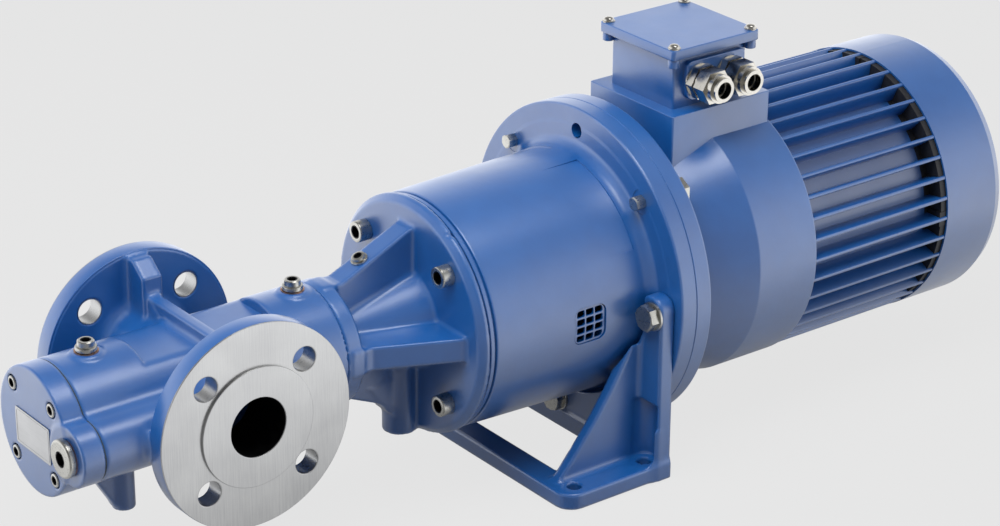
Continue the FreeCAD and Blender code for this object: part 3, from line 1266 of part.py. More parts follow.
def terminal_box_lid():
    half = D.lid_width / 2
    part = Body("terminal_box_lid")
    edge = [(D.lid_front, -half), (D.lid_back, -half), (D.lid_back, half), (D.lid_front, half)]
    part.pad(part.outline("XY_Plane", edge, D.lid_bottom), D.lid_thick)
    part.fillet(D.box_round, corners("z", edge))
    part.pocket(part.circles("XY_Plane", [(x, y, 2.75) for x, y in lid_screw_spots()], D.lid_bottom - 1), 20)
    part.finish()
    x0 = D.lid_front + D.box_inset
    x1 = D.lid_back - D.box_inset
    gasket = cut(box(x0, x1, D.box_inset - half, half - D.box_inset, D.lid_bottom - D.gasket_thick, D.lid_bottom),
                 box(x0 + 3, x1 - 3, D.box_inset - half + 3, half - D.box_inset - 3, D.lid_bottom - 3, D.lid_bottom + 3))
    set_down(gasket, "terminal_box_gasket")
    screws = []
    top = D.lid_bottom + D.lid_thick
    for x, y in lid_screw_spots():
        screws.append(join(rod(4.5, 4, x, y, top, "Z"), rod(2.5, D.lid_thick + 6, x, y, top - D.lid_thick - 5, "Z")))
    set_down(group(*screws), "lid_screws")


def cable_glands():
    half = D.lid_width / 2 - D.box_inset
    face = -half - 5
    bodies = []
    nuts = []
    for x in (D.gland_first, D.gland_second):
        z = D.gland_height
        body = join(rod(GLAND_THREAD, 12, x, face - 1, z, "Y"), rod(13, 1.5, x, face - 1.5, z, "Y"),
                    hexagon(24, 6.5, x, face - 8, z, "Y"), rod(9.5, 16, x, face - 23, z, "Y"))
        bodies.append(cut(body, rod(6, 50, x, face - 26, z, "Y")))
        nut = join(hexagon(24, 11, x, face - 21, z, "Y"), rod(11.4, 2, x, face - 10.5, z, "Y"),
                   rod(11, 6, x, face - 26, z, "Y"), rod(9.2, 4, x, face - 29.5, z, "Y"))
        nuts.append(cut(nut, rod(9.5 + D.screw_gap, 16, x, face - 23.2, z, "Y"),
                        rod(6.5, 50, x, face - 40, z, "Y")))
    set_down(group(*bodies), "cable_gland_bodies")
    set_down(group(*nuts), "cable_gland_nuts")


def check_and_write():
    DOC.recompute()
    for item in DOC.Objects:
        if "Invalid" in item.State or "Error" in item.State:
            raise ValueError(f"{item.Label} ({item.Name}) failed: {item.State}")
    for node in NODES:
        shape = node.Shape
        if shape.isNull() or not shape.isValid() or not shape.Solids:
            raise ValueError(f"{node.Label} has no valid solid")
    os.makedirs("parts", exist_ok=True)
    for node in NODES:
        node.Shape.exportStep(f"parts/{node.Label}.step")


def build():
    pump_casing()
    spindle_liner()
    main_spindle()
    idler_spindle("idler_spindle_upper", 1)
    idler_spindle("idler_spindle_lower", -1)
    end_cover()
    end_cover_gasket()
    pump_end_fittings()
    seal_and_bearing()
    vent_plugs()
    rib_plug()
    mounting_screws()
    bell_housing()
    bell_grilles()
    foot_bracket()
    flange_bolts()
    coupling()
    shaft_keys()
    motor_end_shield()
    motor_housing()
    motor_shaft()
    motor_inside()
    rear_end_shield()
    cooling_fan()
    fan_cowl()
    terminal_box()
    terminal_box_lid()
    cable_glands()
    check_and_write()


build()
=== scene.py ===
"""Looks of a three-spindle screw pump with its bell housing, foot bracket and motor.

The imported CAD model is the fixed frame. Castings, screws, fins and finishes are built round it here.
Sizes are in millimetres in the shaft frame: x runs along the shaft from the pipe flange axis towards
the motor, and y and z are measured from the shaft axis. Meshes are in metres in the model's own frame.
"""

import logging
import math
from collections.abc import Callable, Sequence
from dataclasses import dataclass
from enum import Enum

import bmesh
import bpy
import numpy as np
from mathutils import Matrix, Vector


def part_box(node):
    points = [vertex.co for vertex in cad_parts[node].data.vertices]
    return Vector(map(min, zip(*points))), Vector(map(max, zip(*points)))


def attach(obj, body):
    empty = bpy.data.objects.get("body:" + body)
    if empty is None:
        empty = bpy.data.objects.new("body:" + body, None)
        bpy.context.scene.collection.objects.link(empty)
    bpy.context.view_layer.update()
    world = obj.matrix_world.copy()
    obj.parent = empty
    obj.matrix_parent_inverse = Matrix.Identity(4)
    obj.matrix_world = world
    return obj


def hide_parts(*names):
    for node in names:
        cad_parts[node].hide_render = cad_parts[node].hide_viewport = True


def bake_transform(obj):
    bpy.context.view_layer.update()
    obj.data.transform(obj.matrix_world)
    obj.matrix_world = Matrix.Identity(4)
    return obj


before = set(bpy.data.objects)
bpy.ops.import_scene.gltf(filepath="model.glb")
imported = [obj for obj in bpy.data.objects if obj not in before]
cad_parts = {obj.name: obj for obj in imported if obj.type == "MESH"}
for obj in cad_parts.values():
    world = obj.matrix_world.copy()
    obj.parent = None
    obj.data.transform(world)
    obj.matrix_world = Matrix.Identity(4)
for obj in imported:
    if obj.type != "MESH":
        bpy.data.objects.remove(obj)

LOG = logging.getLogger("screw_pump")
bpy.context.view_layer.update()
ORIGIN = (290.5, 0.0, -132.0)  # the model frame's origin, in the shaft frame
BOLT_CIRCLE = 107.5  # radius of the motor flange's bolt circle
BELL_FACE = 338.3  # front of the bell's motor flange
MOTOR_FACE = 352.3  # where bell and motor meet
PLUG_SPOTS = (-80.5, 84.6)  # the two vent plugs along the barrel
HEXAGON_TURN = 60.0  # degrees after which a hexagon looks the same
SHARP = 35.0  # degrees above which an edge stays sharp
CUT_EDGE = 0.05  # rim of a cutter, which has to be above zero for a filled curve
POLE = 1e-6  # a turned outline's radius below which it ends in one corner

Spot = tuple[float, float]
Point = tuple[float, float, float]
Colour = tuple[float, float, float]
Profile = list[Spot]
Distance = Callable[[np.ndarray], np.ndarray]
Socket = bpy.types.NodeSocket
Object = bpy.types.Object


class Axis(Enum):
    """An axis of the shaft frame, with the two axes across it."""

    X = (0, 1, 2)
    Y = (1, 0, 2)
    Z = (2, 0, 1)


def row(point: Sequence[float]) -> Vector:
    """A point of the shaft frame, in the model's frame in metres."""
    return Vector([(value - start) / 1000 for value, start in zip(point, ORIGIN)])


def rows(points: np.ndarray) -> np.ndarray:
    """Points of the shaft frame, in the model's frame in metres."""
    return (points - np.array(ORIGIN)) / 1000


def add_node(tree: bpy.types.NodeTree, kind: str, inputs: dict | None = None, **settings) -> bpy.types.Node:
    """Adds a node to a tree.

    Args:
        tree: the tree it goes in.
        kind: the node's type.
        inputs: socket name or number to a value or to another node's socket.
        settings: the node's own properties.

    Returns:
        The node.
    """
    made = tree.nodes.new(kind)
    for key, value in settings.items():
        setattr(made, key, value)
    for key, value in (inputs or {}).items():
        if isinstance(value, Socket):
            tree.links.new(value, made.inputs[key])
        else:
            made.inputs[key].default_value = value
    return made


def empty_tree(owner: bpy.types.Material | bpy.types.World) -> bpy.types.NodeTree:
    """The owner's node tree with nothing in it."""
    owner.use_nodes = True
    owner.node_tree.nodes.clear()
    return owner.node_tree


def link_object(name: str, data: bpy.types.ID) -> Object:
    """A new object in the scene."""
    made = bpy.data.objects.new(name, data)
    bpy.context.scene.collection.objects.link(made)
    return made


def evaluated(item: Object) -> bpy.types.Mesh:
    """A new mesh of what the object looks like with its modifiers or its curve's fill."""
    return bpy.data.meshes.new_from_object(item.evaluated_get(bpy.context.evaluated_depsgraph_get()))


def shade(mesh: bpy.types.Mesh, smooth: float = SHARP) -> None:
    """Smooth shading with sharp edges above an angle in degrees."""
    mesh.polygons.foreach_set("use_smooth", [True] * len(mesh.polygons))
    mesh.set_sharp_from_angle(angle=math.radians(smooth))


class Graph:
    """Builds one material's nodes with short calls."""

    def __init__(self, name: str) -> None:
        """Starts an empty material."""
        self.material = bpy.data.materials.new(name)
        self.tree = empty_tree(self.material)
        self.coords = self.node("ShaderNodeTexCoord").outputs["Object"]

    def node(self, kind: str, inputs: dict | None = None, **settings) -> bpy.types.Node:
        """Adds a node to the material's tree."""
        return add_node(self.tree, kind, inputs, **settings)

    def surface(self, colour: Socket, normal: Socket, **values) -> bpy.types.Material:
        """Ends the tree in a surface shader.

        Args:
            colour: the base colour.
            normal: the bumped normal.
            values: the shader's other sockets by name, with underscores for spaces.

        Returns:
            The material.
        """
        inputs = {"Base Color": colour, "Normal": normal}
        inputs.update({key.replace("_", " "): value for key, value in values.items()})
        shader = self.node("ShaderNodeBsdfPrincipled", inputs)
        self.node("ShaderNodeOutputMaterial", {"Surface": shader.outputs[0]})
        return self.material

    def placed(self, centre: Sequence[float] = (0, 0, 0), stretch: Sequence[float] = (1, 1, 1)) -> Socket:
        """Object coordinates moved to a centre and stretched."""
        shift = self.node("ShaderNodeVectorMath", {0: self.coords, 1: tuple(centre)}, operation="SUBTRACT")
        return self.node("ShaderNodeVectorMath", {0: shift.outputs[0], 1: tuple(stretch)},
                         operation="MULTIPLY").outputs[0]

    def noise(self, scale: float, detail: float = 3.0, vector: Socket | None = None, rough: float = 0.5) -> Socket:
        """A noise value at so many features to the metre."""
        made = self.node("ShaderNodeTexNoise", {"Scale": scale, "Detail": detail, "Roughness": rough,
                                               "Vector": vector or self.coords})
        return made.outputs["Fac"]

    def ramp(self, value: Socket, low: float, high: float, out_low: float = 0.0, out_high: float = 1.0) -> Socket:
        """Maps a value's range to another one."""
        return self.node("ShaderNodeMapRange", {"Value": value, "From Min": low, "From Max": high,
                                               "To Min": out_low, "To Max": out_high}).outputs["Result"]

    def mix(self, share: Socket, low: Colour, high: Colour) -> Socket:
        """Mixes two colours."""
        return self.node("ShaderNodeMix", {0: share, 6: (*low, 1), 7: (*high, 1)}, data_type="RGBA").outputs[2]

    def math(self, operation: str, first: Socket | float, second: Socket | float = 0.0) -> Socket:
        """A math node on sockets or numbers."""
        return self.node("ShaderNodeMath", {0: first, 1: second}, operation=operation).outputs[0]

    def blend(self, first: Socket, second: Socket, share: float) -> Socket:
        """Two values added, the first by its share and the second by what is left."""
        return self.math("ADD", self.math("MULTIPLY", first, share), self.math("MULTIPLY", second, 1 - share))

    def bump(self, height: Socket, strength: float, depth: float, before: Socket | None = None) -> Socket:
        """A bump of so many metres, on top of an earlier one."""
        inputs = {"Height": height, "Strength": strength, "Distance": depth}
        if before is not None:
            inputs["Normal"] = before
        return self.node("ShaderNodeBump", inputs).outputs[0]


@dataclass(frozen=True)
class Paint:
    """Satin machine paint. A cast part shows more of the sand's grain under it than a smooth one."""

    name: str
    colour: Colour = (0.003, 0.074, 0.278)
    worn: Colour = (0.005, 0.095, 0.335)
    grain: float = 0.5
    roughness: float = 0.42

    def material(self) -> bpy.types.Material:
        """Colour drift, orange peel and a faint casting grain."""
        g = Graph(self.name)
        shade = g.blend(g.noise(9.0, 4.0), g.noise(85.0, 3.0), 0.7)
        rough = g.ramp(g.noise(40.0, 4.0), 0.3, 0.7, self.roughness - 0.05, self.roughness + 0.06)
        peel = g.bump(g.noise(620.0, 2.0), 0.10 + 0.12 * self.grain, 0.00012)
        sand = g.bump(g.noise(190.0, 3.0), 0.22 * self.grain, 0.00035, peel)
        return g.surface(g.mix(g.ramp(shade, 0.36, 0.66), self.colour, self.worn), sand, Roughness=rough,
                         Coat_Weight=1.0, Coat_Roughness=0.28, Coat_IOR=1.8, Specular_IOR_Level=1.0)


@dataclass(frozen=True)
class Metal:
    """Bare or plated metal with fine turning or rolling marks along one direction."""

    name: str
    colour: Colour = (0.62, 0.62, 0.60)
    dark: Colour = (0.48, 0.48, 0.47)
    roughness: float = 0.30
    stretch: Point = (1.0, 1.0, 1.0)
    marks: float = 900.0
    depth: float = 0.00004

    def material(self) -> bpy.types.Material:
        """Blotches of tone with fine marks in roughness and bump."""
        g = Graph(self.name)
        lines = g.noise(self.marks, 4.0, g.placed((0, 0, 0), self.stretch), 0.65)
        tone = g.blend(lines, g.noise(60.0, 3.0), 0.6)
        rough = g.ramp(lines, 0.3, 0.7, self.roughness - 0.07, self.roughness + 0.09)
        return g.surface(g.mix(g.ramp(tone, 0.35, 0.65), self.dark, self.colour), g.bump(lines, 0.35, self.depth),
                         Roughness=rough, Metallic=1.0)


@dataclass(frozen=True)
class TurnedFace:
    """A lathe-turned sealing face: fine rings about the flange's axis, with a soft cross brushing."""

    name: str
    colour: Colour = (0.66, 0.66, 0.65)
    dark: Colour = (0.50, 0.50, 0.50)
    roughness: float = 0.34

    def material(self) -> bpy.types.Material:
        """Rings from the distance to the flange axis, mixed with a vertical brushing."""
        g = Graph(self.name)
        flat = g.placed(row((0, 0, 0)), (1, 0, 1))
        radius = g.node("ShaderNodeVectorMath", {0: flat}, operation="LENGTH").outputs["Value"]
        turned = g.noise(2600.0, 3.0, g.node("ShaderNodeCombineXYZ", {0: radius}).outputs[0], 0.7)
        brushed = g.noise(1100.0, 3.0, g.placed((0, 0, 0), (1.0, 1.0, 0.035)), 0.6)
        lines = g.blend(turned, brushed, 0.35)
        tone = g.blend(lines, g.noise(28.0, 3.0), 0.7)
        rough = g.ramp(lines, 0.35, 0.65, self.roughness - 0.06, self.roughness + 0.10)
        return g.surface(g.mix(g.ramp(tone, 0.38, 0.62), self.dark, self.colour), g.bump(lines, 0.30, 0.00005),
                         Roughness=rough, Metallic=1.0)


@dataclass(frozen=True)
class Mould:
    """Moulded plastic, rubber, carbon or paper: no metal, a dull skin with a fine grain."""

    name: str
    colour: Colour = (0.03, 0.03, 0.03)
    light: Colour = (0.05, 0.05, 0.05)
    roughness: float = 0.55
    grain: float = 500.0

    def material(self) -> bpy.types.Material:
        """Slight tone change and a fine grain."""
        g = Graph(self.name)
        grain = g.noise(self.grain)
        rough = g.ramp(grain, 0.3, 0.7, self.roughness - 0.06, self.roughness + 0.08)
        return g.surface(g.mix(g.ramp(grain, 0.35, 0.65), self.colour, self.light), g.bump(grain, 0.3, 0.00008),
                         Roughness=rough)


@dataclass(frozen=True)
class Layers:
    """Sheet or wire laid side by side along the shaft, such as a stator's sheets or a winding's turns."""

    name: str
    colour: Colour
    dark: Colour
    pitch: float
    around: bool = False
    roughness: float = 0.4
    metallic: float = 1.0

    def material(self) -> bpy.types.Material:
        """Bands at a pitch in metres, along the shaft or round it."""
        g = Graph(self.name)
        x, y, z = g.node("ShaderNodeSeparateXYZ", {0: g.placed(row((0, 0, 0)))}).outputs
        along = g.math("ARCTAN2", y, z) if self.around else x
        wave = g.math("SINE", g.math("MULTIPLY", along, 2 * math.pi / self.pitch))
        bands = g.math("ADD", g.math("MULTIPLY", wave, 0.35), g.noise(400.0))
        return g.surface(g.mix(g.ramp(bands, 0.1, 0.9), self.dark, self.colour), g.bump(bands, 0.5, 0.0003),
                         Metallic=self.metallic, Roughness=self.roughness)


Finish = Paint | Metal | TurnedFace | Mould | Layers


class Finishes:
    """Every finish of the pump and motor, made once and asked for by name."""

    CAST = Paint("cast_paint", grain=0.9)
    SMOOTH = Paint("smooth_paint", grain=0.35, roughness=0.36)
    SHEET = Paint("sheet_paint", grain=0.15, roughness=0.34)
    FACE = TurnedFace("turned_flange_face")
    STEEL = Metal("turned_steel", (0.56, 0.56, 0.55), (0.42, 0.42, 0.42), 0.32, (0.02, 1, 1))
    GROUND = Metal("ground_steel", (0.70, 0.70, 0.71), (0.58, 0.58, 0.60), 0.16, (1, 0.05, 1), 1400.0, 0.00001)
    ZINC = Metal("zinc_plate", (0.64, 0.63, 0.58), (0.47, 0.46, 0.43), 0.30, (1, 1, 1), 420.0, 0.00005)
    NICKEL = Metal("nickel_plate", (0.66, 0.63, 0.57), (0.52, 0.50, 0.46), 0.17, (1, 1, 1), 300.0, 0.00002)
    PLATE = Metal("brushed_plate", (0.60, 0.60, 0.60), (0.50, 0.50, 0.50), 0.36, (1, 0.03, 1), 1500.0, 0.00002)
    COPPER = Metal("copper_ring", (0.62, 0.36, 0.24), (0.42, 0.24, 0.16), 0.35, (1, 1, 1), 500.0, 0.00003)
    # Painted shade: a near-black metal that lines bores, sockets and recesses, standing in for the shade inside them.
    PAINTED_SHADE = Metal("dark_bore", (0.045, 0.045, 0.05), (0.02, 0.02, 0.022), 0.50, (1, 1, 1), 300.0, 0.0001)
    PAPER = Mould("sealing_paper", (0.05, 0.06, 0.05), (0.09, 0.10, 0.085), 0.85, 900.0)
    BLACK = Mould("black_plastic", (0.012, 0.012, 0.013), (0.022, 0.022, 0.024), 0.48, 700.0)
    CARBON = Mould("seal_carbon", (0.025, 0.025, 0.027), (0.045, 0.045, 0.048), 0.32, 1200.0)
    SPIDER = Mould("red_polyurethane", (0.42, 0.035, 0.02), (0.52, 0.06, 0.03), 0.38, 260.0)
    CREAM = Mould("moulded_block", (0.50, 0.47, 0.38), (0.58, 0.55, 0.46), 0.45, 500.0)
    SHEETS = Layers("stacked_sheet", (0.36, 0.36, 0.38), (0.14, 0.14, 0.15), 0.0012)
    WIRE = Layers("varnished_winding", (0.40, 0.16, 0.06), (0.17, 0.06, 0.02), 0.035, True, 0.35, 0.6)

    _made: dict[str, bpy.types.Material] = {}

    @classmethod
    def get(cls, finish: Finish) -> bpy.types.Material:
        """The finish's material, built on first use."""
        if finish.name not in cls._made:
            cls._made[finish.name] = finish.material()
        return cls._made[finish.name]


class Solid:
    """Distance functions of rounded solids, negative inside, in millimetres of the shaft frame."""

    @staticmethod
    def rod(axis: Axis, centre: Spot, radius: float, start: float, end: float, edge: float,
            end_radius: float | None = None) -> Distance:
        """A rod or a cone along an axis.

        Args:
            axis: the rod's direction.
            centre: its place on the two axes across, in their order.
            radius: radius at the start.
            start: first end along the axis.
            end: last end along the axis.
            edge: rounding of its rims.
            end_radius: radius at the end, for a cone.

        Returns:
            The distance function.
        """
        along, first, second = axis.value
        last = radius if end_radius is None else end_radius
        slope = (last - radius) / (end - start)
        lean = 1 / math.sqrt(1 + slope * slope)

        def distance(p: np.ndarray) -> np.ndarray:
            """Distance to the rod."""
            out = np.hypot(p[:, first] - centre[0], p[:, second] - centre[1])
            wall = (out - radius - slope * (p[:, along] - start)) * lean
            return Solid.capped(wall, p[:, along], start, end, edge)

        return distance

    @staticmethod
    def capped(wall: np.ndarray, along: np.ndarray, start: float, end: float, edge: float) -> np.ndarray:
        """Distance to what lies inside a wall and between two ends, with its rims rounded."""
        side = wall + edge
        cap = np.abs(along - (start + end) / 2) - (end - start) / 2 + edge
        outside = np.hypot(np.maximum(side, 0), np.maximum(cap, 0))
        return outside + np.minimum(np.maximum(side, cap), 0) - edge

    @staticmethod
    def prism(axis: Axis, outline: Profile, start: float, end: float, edge: float) -> Distance:
        """An outline carried along an axis, with its rims rounded.

        Args:
            axis: the direction it is carried in.
            outline: corners on the two axes across, in their order.
            start: first end along the axis.
            end: last end along the axis.
            edge: rounding of the rims.

        Returns:
            The distance function.
        """
        along, first, second = axis.value
        corners = np.array(outline, float)

        def distance(p: np.ndarray) -> np.ndarray:
            """Distance to the prism."""
            return Solid.capped(Solid.polygon(p[:, [first, second]], corners), p[:, along], start, end, edge)

        return distance

    @staticmethod
    def polygon(p: np.ndarray, corners: np.ndarray) -> np.ndarray:
        """Signed distance to a closed outline in a plane."""
        best = np.full(len(p), 1e12, p.dtype)
        inside = np.zeros(len(p), bool)
        before = corners[-1]
        for here in corners:
            edge = before - here
            to = p - here
            share = np.clip((to @ edge) / max(edge @ edge, 1e-12), 0, 1)
            gap = to - share[:, None] * edge
            best = np.minimum(best, gap[:, 0] ** 2 + gap[:, 1] ** 2)
            crosses = (here[1] > p[:, 1]) != (before[1] > p[:, 1])
            height = before[1] - here[1]
            height = height if abs(height) > 1e-12 else 1e-12
            inside ^= crosses & (p[:, 0] < (before[0] - here[0]) * (p[:, 1] - here[1]) / height + here[0])
            before = here
        return np.where(inside, -1.0, 1.0) * np.sqrt(best)

    @staticmethod
    def turned(outline: Profile, edge: float) -> Distance:
        """A closed outline of (along, radius) turned about the shaft."""
        corners = np.array(outline, float)

        def distance(p: np.ndarray) -> np.ndarray:
            """Distance to the turned solid."""
            flat = np.stack([p[:, 0], np.hypot(p[:, 1], p[:, 2])], 1)
            return Solid.polygon(flat, corners) - edge

        return distance

    @staticmethod
    def union(blend: float, *parts: Distance) -> Distance:
        """Joins solids with a fillet of about this size in every inside corner."""

        def distance(p: np.ndarray) -> np.ndarray:
            """Distance to the joined solid."""
            result = parts[0](p)
            for part in parts[1:]:
                result = Solid.blend(result, part(p), blend)
            return result

        return distance

    @staticmethod
    def blend(first: np.ndarray, second: np.ndarray, size: float) -> np.ndarray:
        """Smooth minimum of two distances."""
        if size <= 0:
            return np.minimum(first, second)
        share = np.maximum(size - np.abs(first - second), 0) / size
        return np.minimum(first, second) - share * share * size * 0.25

    @staticmethod
    def within(body: Distance, axis: Axis, low: float, high: float) -> Distance:
        """Trims a body flat at both ends, where fillets would swell over a machined face."""
        along = axis.value[0]

        def distance(p: np.ndarray) -> np.ndarray:
            """Distance to the trimmed solid."""
            return np.maximum(body(p), np.maximum(low - p[:, along], p[:, along] - high))

        return distance

    @staticmethod
    def without(edge: float, body: Distance, *cuts: Distance) -> Distance:
        """Takes solids out of a body, with the new rims rounded by about this size."""

        def distance(p: np.ndarray) -> np.ndarray:
            """Distance to what is left."""
            result = body(p)
            for cut in cuts:
                result = -Solid.blend(-result, cut(p), edge)
            return result

        return distance


class Outline:
    """Plane outlines with round corners."""

    @staticmethod
    def rounded(corners: Sequence[tuple[float, ...]], steps: int) -> Profile:
        """Rounds each corner that states a radius.

        Args:
            corners: (across, up) or (across, up, radius) of each corner.
            steps: pieces in each arc.

        Returns:
            The outline's points.
        """
        points: Profile = []
        count = len(corners)
        for i, corner in enumerate(corners):
            here = Vector(corner[:2])
            radius = corner[2] if len(corner) > 2 else 0.0
            before = Vector(corners[i - 1][:2]) - here
            after = Vector(corners[(i + 1) % count][:2]) - here
            angle = before.angle(after, 0.0)
            if radius <= 0 or not 1e-3 < angle < math.pi - 1e-3:
                points.append(tuple(here))
                continue
            reach = min(radius / math.tan(angle / 2), before.length * 0.49, after.length * 0.49)
            size = reach * math.tan(angle / 2)
            middle = here + (before.normalized() + after.normalized()).normalized() * (size / math.sin(angle / 2))
            first = here + before.normalized() * reach - middle
            last = here + after.normalized() * reach - middle
            turn = first.angle_signed(last)
            for step in range(steps + 1):
                share = turn * step / steps
                c, s = math.cos(-share), math.sin(-share)
                points.append((middle.x + first.x * c - first.y * s, middle.y + first.x * s + first.y * c))
        return points

    @staticmethod
    def braced(profile: Profile, reach: float = 0.7) -> Profile:
        """Adds a point near both ends of each long side, so that a turned side keeps its shading flat."""
        made: Profile = []
        for i, here in enumerate(profile):
            after = profile[(i + 1) % len(profile)]
            made.append(here)
            length = math.dist(here, after)
            if length > 4 * reach and max(here[1], after[1]) > 1e-6:
                for share in (reach / length, 1 - reach / length):
                    made.append(tuple(a + (b - a) * share for a, b in zip(here, after)))
        return made

    @staticmethod
    def box(low: Spot, high: Spot, radius: float, steps: int) -> Profile:
        """A rectangle between two opposite corners, all four rounded."""
        return Outline.rounded([(low[0], low[1], radius), (high[0], low[1], radius), (high[0], high[1], radius),
                                (low[0], high[1], radius)], steps)

    @staticmethod
    def spots(radius: float, count: int = 4, first: float = 45.0) -> Profile:
        """Even places on a circle about the axis, the first one at some degrees."""
        angles = [math.radians(first + 360 / count * i) for i in range(count)]
        return [(radius * math.cos(angle), radius * math.sin(angle)) for angle in angles]

    @staticmethod
    def circle(centre: Spot, radius: float, count: int) -> Profile:
        """A circle's points."""
        return [(centre[0] + radius * math.cos(2 * math.pi * i / count),
                 centre[1] + radius * math.sin(2 * math.pi * i / count)) for i in range(count)]

    @staticmethod
    def hexagon(centre: Spot, across_flats: float) -> Profile:
        """A hexagon's corners."""
        reach = across_flats / math.sqrt(3)
        return [(centre[0] + reach * math.cos(math.pi / 3 * i), centre[1] + reach * math.sin(math.pi / 3 * i))
                for i in range(6)]


class Skin:
    """Turns a distance function into an even mesh that lies exactly on its surface."""

    EDGES = [((0, 0, 0), (1, 0, 0)), ((0, 1, 0), (1, 1, 0)), ((0, 0, 1), (1, 0, 1)), ((0, 1, 1), (1, 1, 1)),
             ((0, 0, 0), (0, 1, 0)), ((1, 0, 0), (1, 1, 0)), ((0, 0, 1), (0, 1, 1)), ((1, 0, 1), (1, 1, 1)),
             ((0, 0, 0), (0, 0, 1)), ((1, 0, 0), (1, 0, 1)), ((0, 1, 0), (0, 1, 1)), ((1, 1, 0), (1, 1, 1))]
    SLAB = 12  # grid layers worked out at once

    def __init__(self, solid: Distance, low: Point, high: Point, step: float) -> None:
        """Keeps the solid, its box and the grid step."""
        self.solid = solid
        self.low = np.array(low, float) - 1.37 * step
        self.step = step
        self.counts = np.ceil((np.array(high, float) + 1.4 * step - self.low) / step).astype(int) + 1

    def values(self) -> np.ndarray:
        """The distance at every grid point, worked out in slabs."""
        nx, ny, nz = self.counts
        y, z = np.meshgrid(self.low[1] + self.step * np.arange(ny), self.low[2] + self.step * np.arange(nz),
                           indexing="ij")
        result = np.empty((nx, ny, nz), np.float64)
        for start in range(0, nx, self.SLAB):
            stop = min(nx, start + self.SLAB)
            x = self.low[0] + self.step * np.arange(start, stop)
            points = np.empty((stop - start, ny, nz, 3))
            points[..., 0] = x[:, None, None]
            points[..., 1] = y
            points[..., 2] = z
            result[start:stop] = self.solid(points.reshape(-1, 3)).reshape(stop - start, ny, nz)
        return result

    def mesh(self) -> tuple[np.ndarray, np.ndarray]:
        """Corners in millimetres and four-sided faces."""
        value = self.values()
        inside = value < 0
        nx, ny, nz = (n - 1 for n in self.counts)
        total = np.zeros((nx, ny, nz, 3))
        hits = np.zeros((nx, ny, nz))

        def at(grid: np.ndarray, corner: tuple[int, int, int]) -> np.ndarray:
            """A corner's values for every cell."""
            i, j, k = corner
            return grid[i:i + nx, j:j + ny, k:k + nz]

        for a, b in self.EDGES:
            va, vb = at(value, a), at(value, b)
            crossed = at(inside, a) != at(inside, b)
            with np.errstate(divide="ignore", invalid="ignore"):
                share = np.where(crossed, va / (va - vb), 0.0)
            first = np.array(a, float)
            way = np.array(b, float) - first
            for axis in range(3):
                total[..., axis] += crossed * (first[axis] + share * way[axis])
            hits += crossed
        used = hits > 0
        index = np.full((nx, ny, nz), -1, np.int64)
        index[used] = np.arange(used.sum())
        cell = np.argwhere(used)
        corners = self.low + self.step * (cell + total[used] / hits[used][:, None])
        faces = []
        for axis, (u, v) in enumerate(((1, 2), (2, 0), (0, 1))):
            shape = [nx, ny, nz]
            span = [slice(1, n) for n in shape]
            span[axis] = slice(0, shape[axis])
            ahead = list(span)
            ahead[axis] = slice(1, shape[axis] + 1)
            first, second = inside[tuple(span)], inside[tuple(ahead)]
            place = np.argwhere(first != second)
            if not len(place):
                continue
            offset = np.array([s.start for s in span])
            spot = place + offset
            leaving = first[tuple(place.T)]
            quad = []
            for du, dv in ((1, 1), (0, 1), (0, 0), (1, 0)):
                moved = spot.copy()
                moved[:, u] -= du
                moved[:, v] -= dv
                quad.append(index[tuple(moved.T)])
            quad = np.stack(quad, 1)
            quad[~leaving] = quad[~leaving][:, ::-1]
            faces.append(quad)
        return self.settled(corners), np.concatenate(faces)

    def settled(self, corners: np.ndarray) -> np.ndarray:
        """Moves every corner on to the surface itself."""
        small = 0.02
        for _ in range(4):
            here = self.solid(corners)
            slope = np.empty_like(corners)
            for axis in range(3):
                step = np.zeros(3)
                step[axis] = small
                slope[:, axis] = (self.solid(corners + step) - self.solid(corners - step)) / (2 * small)
            steep = np.maximum((slope ** 2).sum(1), 0.25)
            move = here[:, None] * slope / steep[:, None]
            length = np.linalg.norm(move, axis=1)
            limit = np.minimum(1, 0.5 * self.step / np.maximum(length, 1e-9))
            corners = corners - move * limit[:, None]
        return corners


